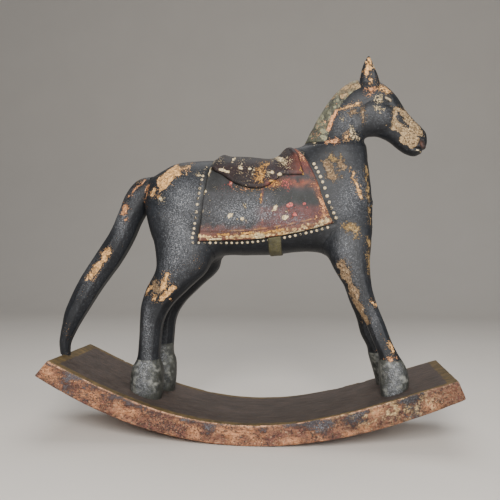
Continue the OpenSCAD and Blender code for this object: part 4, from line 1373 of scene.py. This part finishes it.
def paint_board(p, level, top_face, edge):
    """Top: dark brown with an ochre border. Sides: bare reddish wood with paint left on."""
    cloud = rough(p, 22, 4, 12)
    fine = rough(p * [0.3, 1, 1], 5, 3, 14)
    streaks = rough(p * [0.12, 1, 1], 2.2, 2, 16)
    coat_top = linear(66, 55, 49) * (1 + 0.35 * streaks + 0.15 * cloud)[:, None]
    coat_side = linear(70, 60, 62) * (1 + 0.4 * cloud)[:, None]
    coat_side = shaded(coat_side, 0.75 * np.clip(glow(p, SIDE_DARK), 0, 1))
    border = 9.5 - 5.5 * smooth(p[:, 0], 20, 80)
    border_x = 230
    inner = np.minimum(BOARD_HALF - border - np.abs(p[:, 1]), border_x - np.abs(p[:, 0]))
    layer_top = -inner + 0.9 * rough(p, 8, 3, 19)
    layer_side = -6 + 7.5 * smooth(level, 0.93, 0.985)
    coat2 = linear(88, 71, 41) * (1 + 0.35 * fine + 0.35 * rough(p, 3, 2, 15))[:, None]
    remains = 2.6 * rough(p * [0.6, 1, 1.3], 13, 4, 27) + 2.6 * smooth(level, 0.5, 0.95) - 2.6
    remains = remains + glow(p, SIDE_LEFT) - glow(p, SIDE_LOST)
    arris = 4.5 * smooth(level, 0.9, 0.97) * smooth(rough(p, 9, 2, 44), -0.5, 0.2)
    bare_top = -7 + 5.8 * np.exp(-edge / 1.4) + 1.5 * cloud
    scratch = streak(p, -211, 93, 13, 2.6, -35) - 3 * (p[:, 1] < -60)
    return dict(
        bare=np.where(top_face > 0.5, np.maximum(bare_top, scratch), arris - remains),
        core=side_wood(p, level, cloud), coat=tinted(coat_side, coat_top, top_face), coat2=coat2,
        layer=np.where(top_face > 0.4, layer_top, layer_side),
        scuff=np.clip(0.5 + 0.4 * cloud, 0, 1) * (1 - 0.9 * top_face) + 0.1 * top_face,
        chips=np.clip(0.7 + 0.5 * cloud, 0, 1.2) * (1 - top_face))


def build_board():
    shape = board_mesh()
    p, nrm = shape.points, shape.normals()
    thick = np.maximum(board_top_z(p[:, 0]) - board_bottom_z(p[:, 0]), 1)
    level = np.clip((p[:, 2] - board_bottom_z(p[:, 0])) / thick, 0, 1)
    off_flat = np.minimum(level, 1 - level) * BOARD_THICK
    edge = np.maximum(BOARD_HALF - np.abs(p[:, 1]), off_flat)
    dents = smooth(rough(p, 13, 3, 7), 0.25, 0.9) * np.exp(-edge / 2.6)
    wave = 0.35 * noise(p, 45, 5) + 0.15 * rough(p * [0.25, 1, 1], 5, 2, 6)
    top_face = smooth(nrm[:, 2], 0.55, 0.85) * smooth(level, 0.5, 0.8)
    under = smooth(-nrm[:, 2], 0.55, 0.85)
    shape.points = p + nrm * (wave * (1 - 0.7 * under) - 1.3 * dents * (1 - 0.6 * under))[:, None]
    sink_pits(shape, under)
    fields = paint_board(p, level, top_face, edge)
    place("rocker_board_worn", shape, board_material, "board_paint", "rocker_board", **fields)


build_board()


# ---------------------------------------------------------------- fasteners
def dress(name, material):
    """Gives a CAD node a new material."""
    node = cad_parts[name]
    node.data.materials.clear()
    node.data.materials.append(material)


dowel_material = plain_wood("dowel_wood", linear(206, 168, 120), linear(166, 124, 82))
dress("leg_dowels", dowel_material)
dress("neck_dowels", dowel_material)
dress("hoof_screws", dull_steel())


# ---------------------------------------------------------------- floor, light and camera
def floor_and_wall():
    """A pale floor that curves up into a wall a long way behind."""
    width, height, front, back, bend = 4.0, 4.0, -3.0, 2.4, 1.0
    below = 0.0002  # just under the board, so that the two surfaces never share a plane
    profile = [(front, 0.0), (back - bend, 0.0)]
    for a in np.linspace(0.1, math.pi / 2, 14):
        profile.append((back - bend + bend * math.sin(a), bend - bend * math.cos(a)))
    profile.append((back, height))
    points = [(x, y, z - below) for x in (-width, width) for y, z in profile]
    size = len(profile)
    faces = [(i, i + size, i + size + 1, i + 1) for i in range(size - 1)]
    mesh = bpy.data.meshes.new("studio_floor")
    mesh.from_pydata(points, [], faces)
    mesh.shade_smooth()
    n = Nodes("studio_floor")
    shade = n.mix(n.noise(6, 3), linear(206, 200, 192), linear(212, 206, 198))
    mesh.materials.append(n.surface(shade, 0.85, n.noise(60, 3), 0.0001))
    floor = bpy.data.objects.new("studio_floor", mesh)
    bpy.context.scene.collection.objects.link(floor)


def softbox(name, place_at, aim, size, watts, colour=(1, 1, 1)):
    light = bpy.data.lights.new(name, "AREA")
    light.shape = "RECTANGLE"
    light.size, light.size_y = size
    light.energy = watts
    light.color = colour
    lamp = bpy.data.objects.new(name, light)
    lamp.location = place_at
    lamp.rotation_euler = (Vector(aim) - Vector(place_at)).to_track_quat("-Z", "Y").to_euler()
    bpy.context.scene.collection.objects.link(lamp)


floor_and_wall()
softbox("key", (0.1, -1.3, 0.75), (0, 0, 0.22), (0.6, 0.6), 30, (1.0, 0.98, 0.95))
softbox("fill", (1.1, -1.0, 0.5), (0.1, 0, 0.2), (0.8, 0.8), 7, (0.97, 0.98, 1.0))
softbox("top", (0.0, 0.35, 1.3), (0, 0, 0.2), (1.2, 0.8), 9)
world = bpy.data.worlds.new("studio")
world.use_nodes = True
background = world.node_tree.nodes["Background"]
background.inputs["Color"].default_value = (0.9, 0.92, 0.95, 1)
background.inputs["Strength"].default_value = 0.26
bpy.context.scene.world = world

# The camera's place, direction and lens are the results of a fit by another program, the same
# one that gave the board's curves.
CAMERA_AT = (0.0901, -0.7825, 0.2264)
CAMERA_LOOKS = (-0.1172, 0.9931, 0.0032)
CAMERA_LENS, CAMERA_SENSOR = 44.39, 36

camera_data = bpy.data.cameras.new("camera")
camera_data.sensor_width = CAMERA_SENSOR
camera_data.lens = CAMERA_LENS
camera = bpy.data.objects.new("camera", camera_data)
camera.location = CAMERA_AT
camera.rotation_mode = "QUATERNION"
camera.rotation_quaternion = Vector(CAMERA_LOOKS).to_track_quat("-Z", "Y")
bpy.context.scene.collection.objects.link(camera)
bpy.context.scene.camera = camera
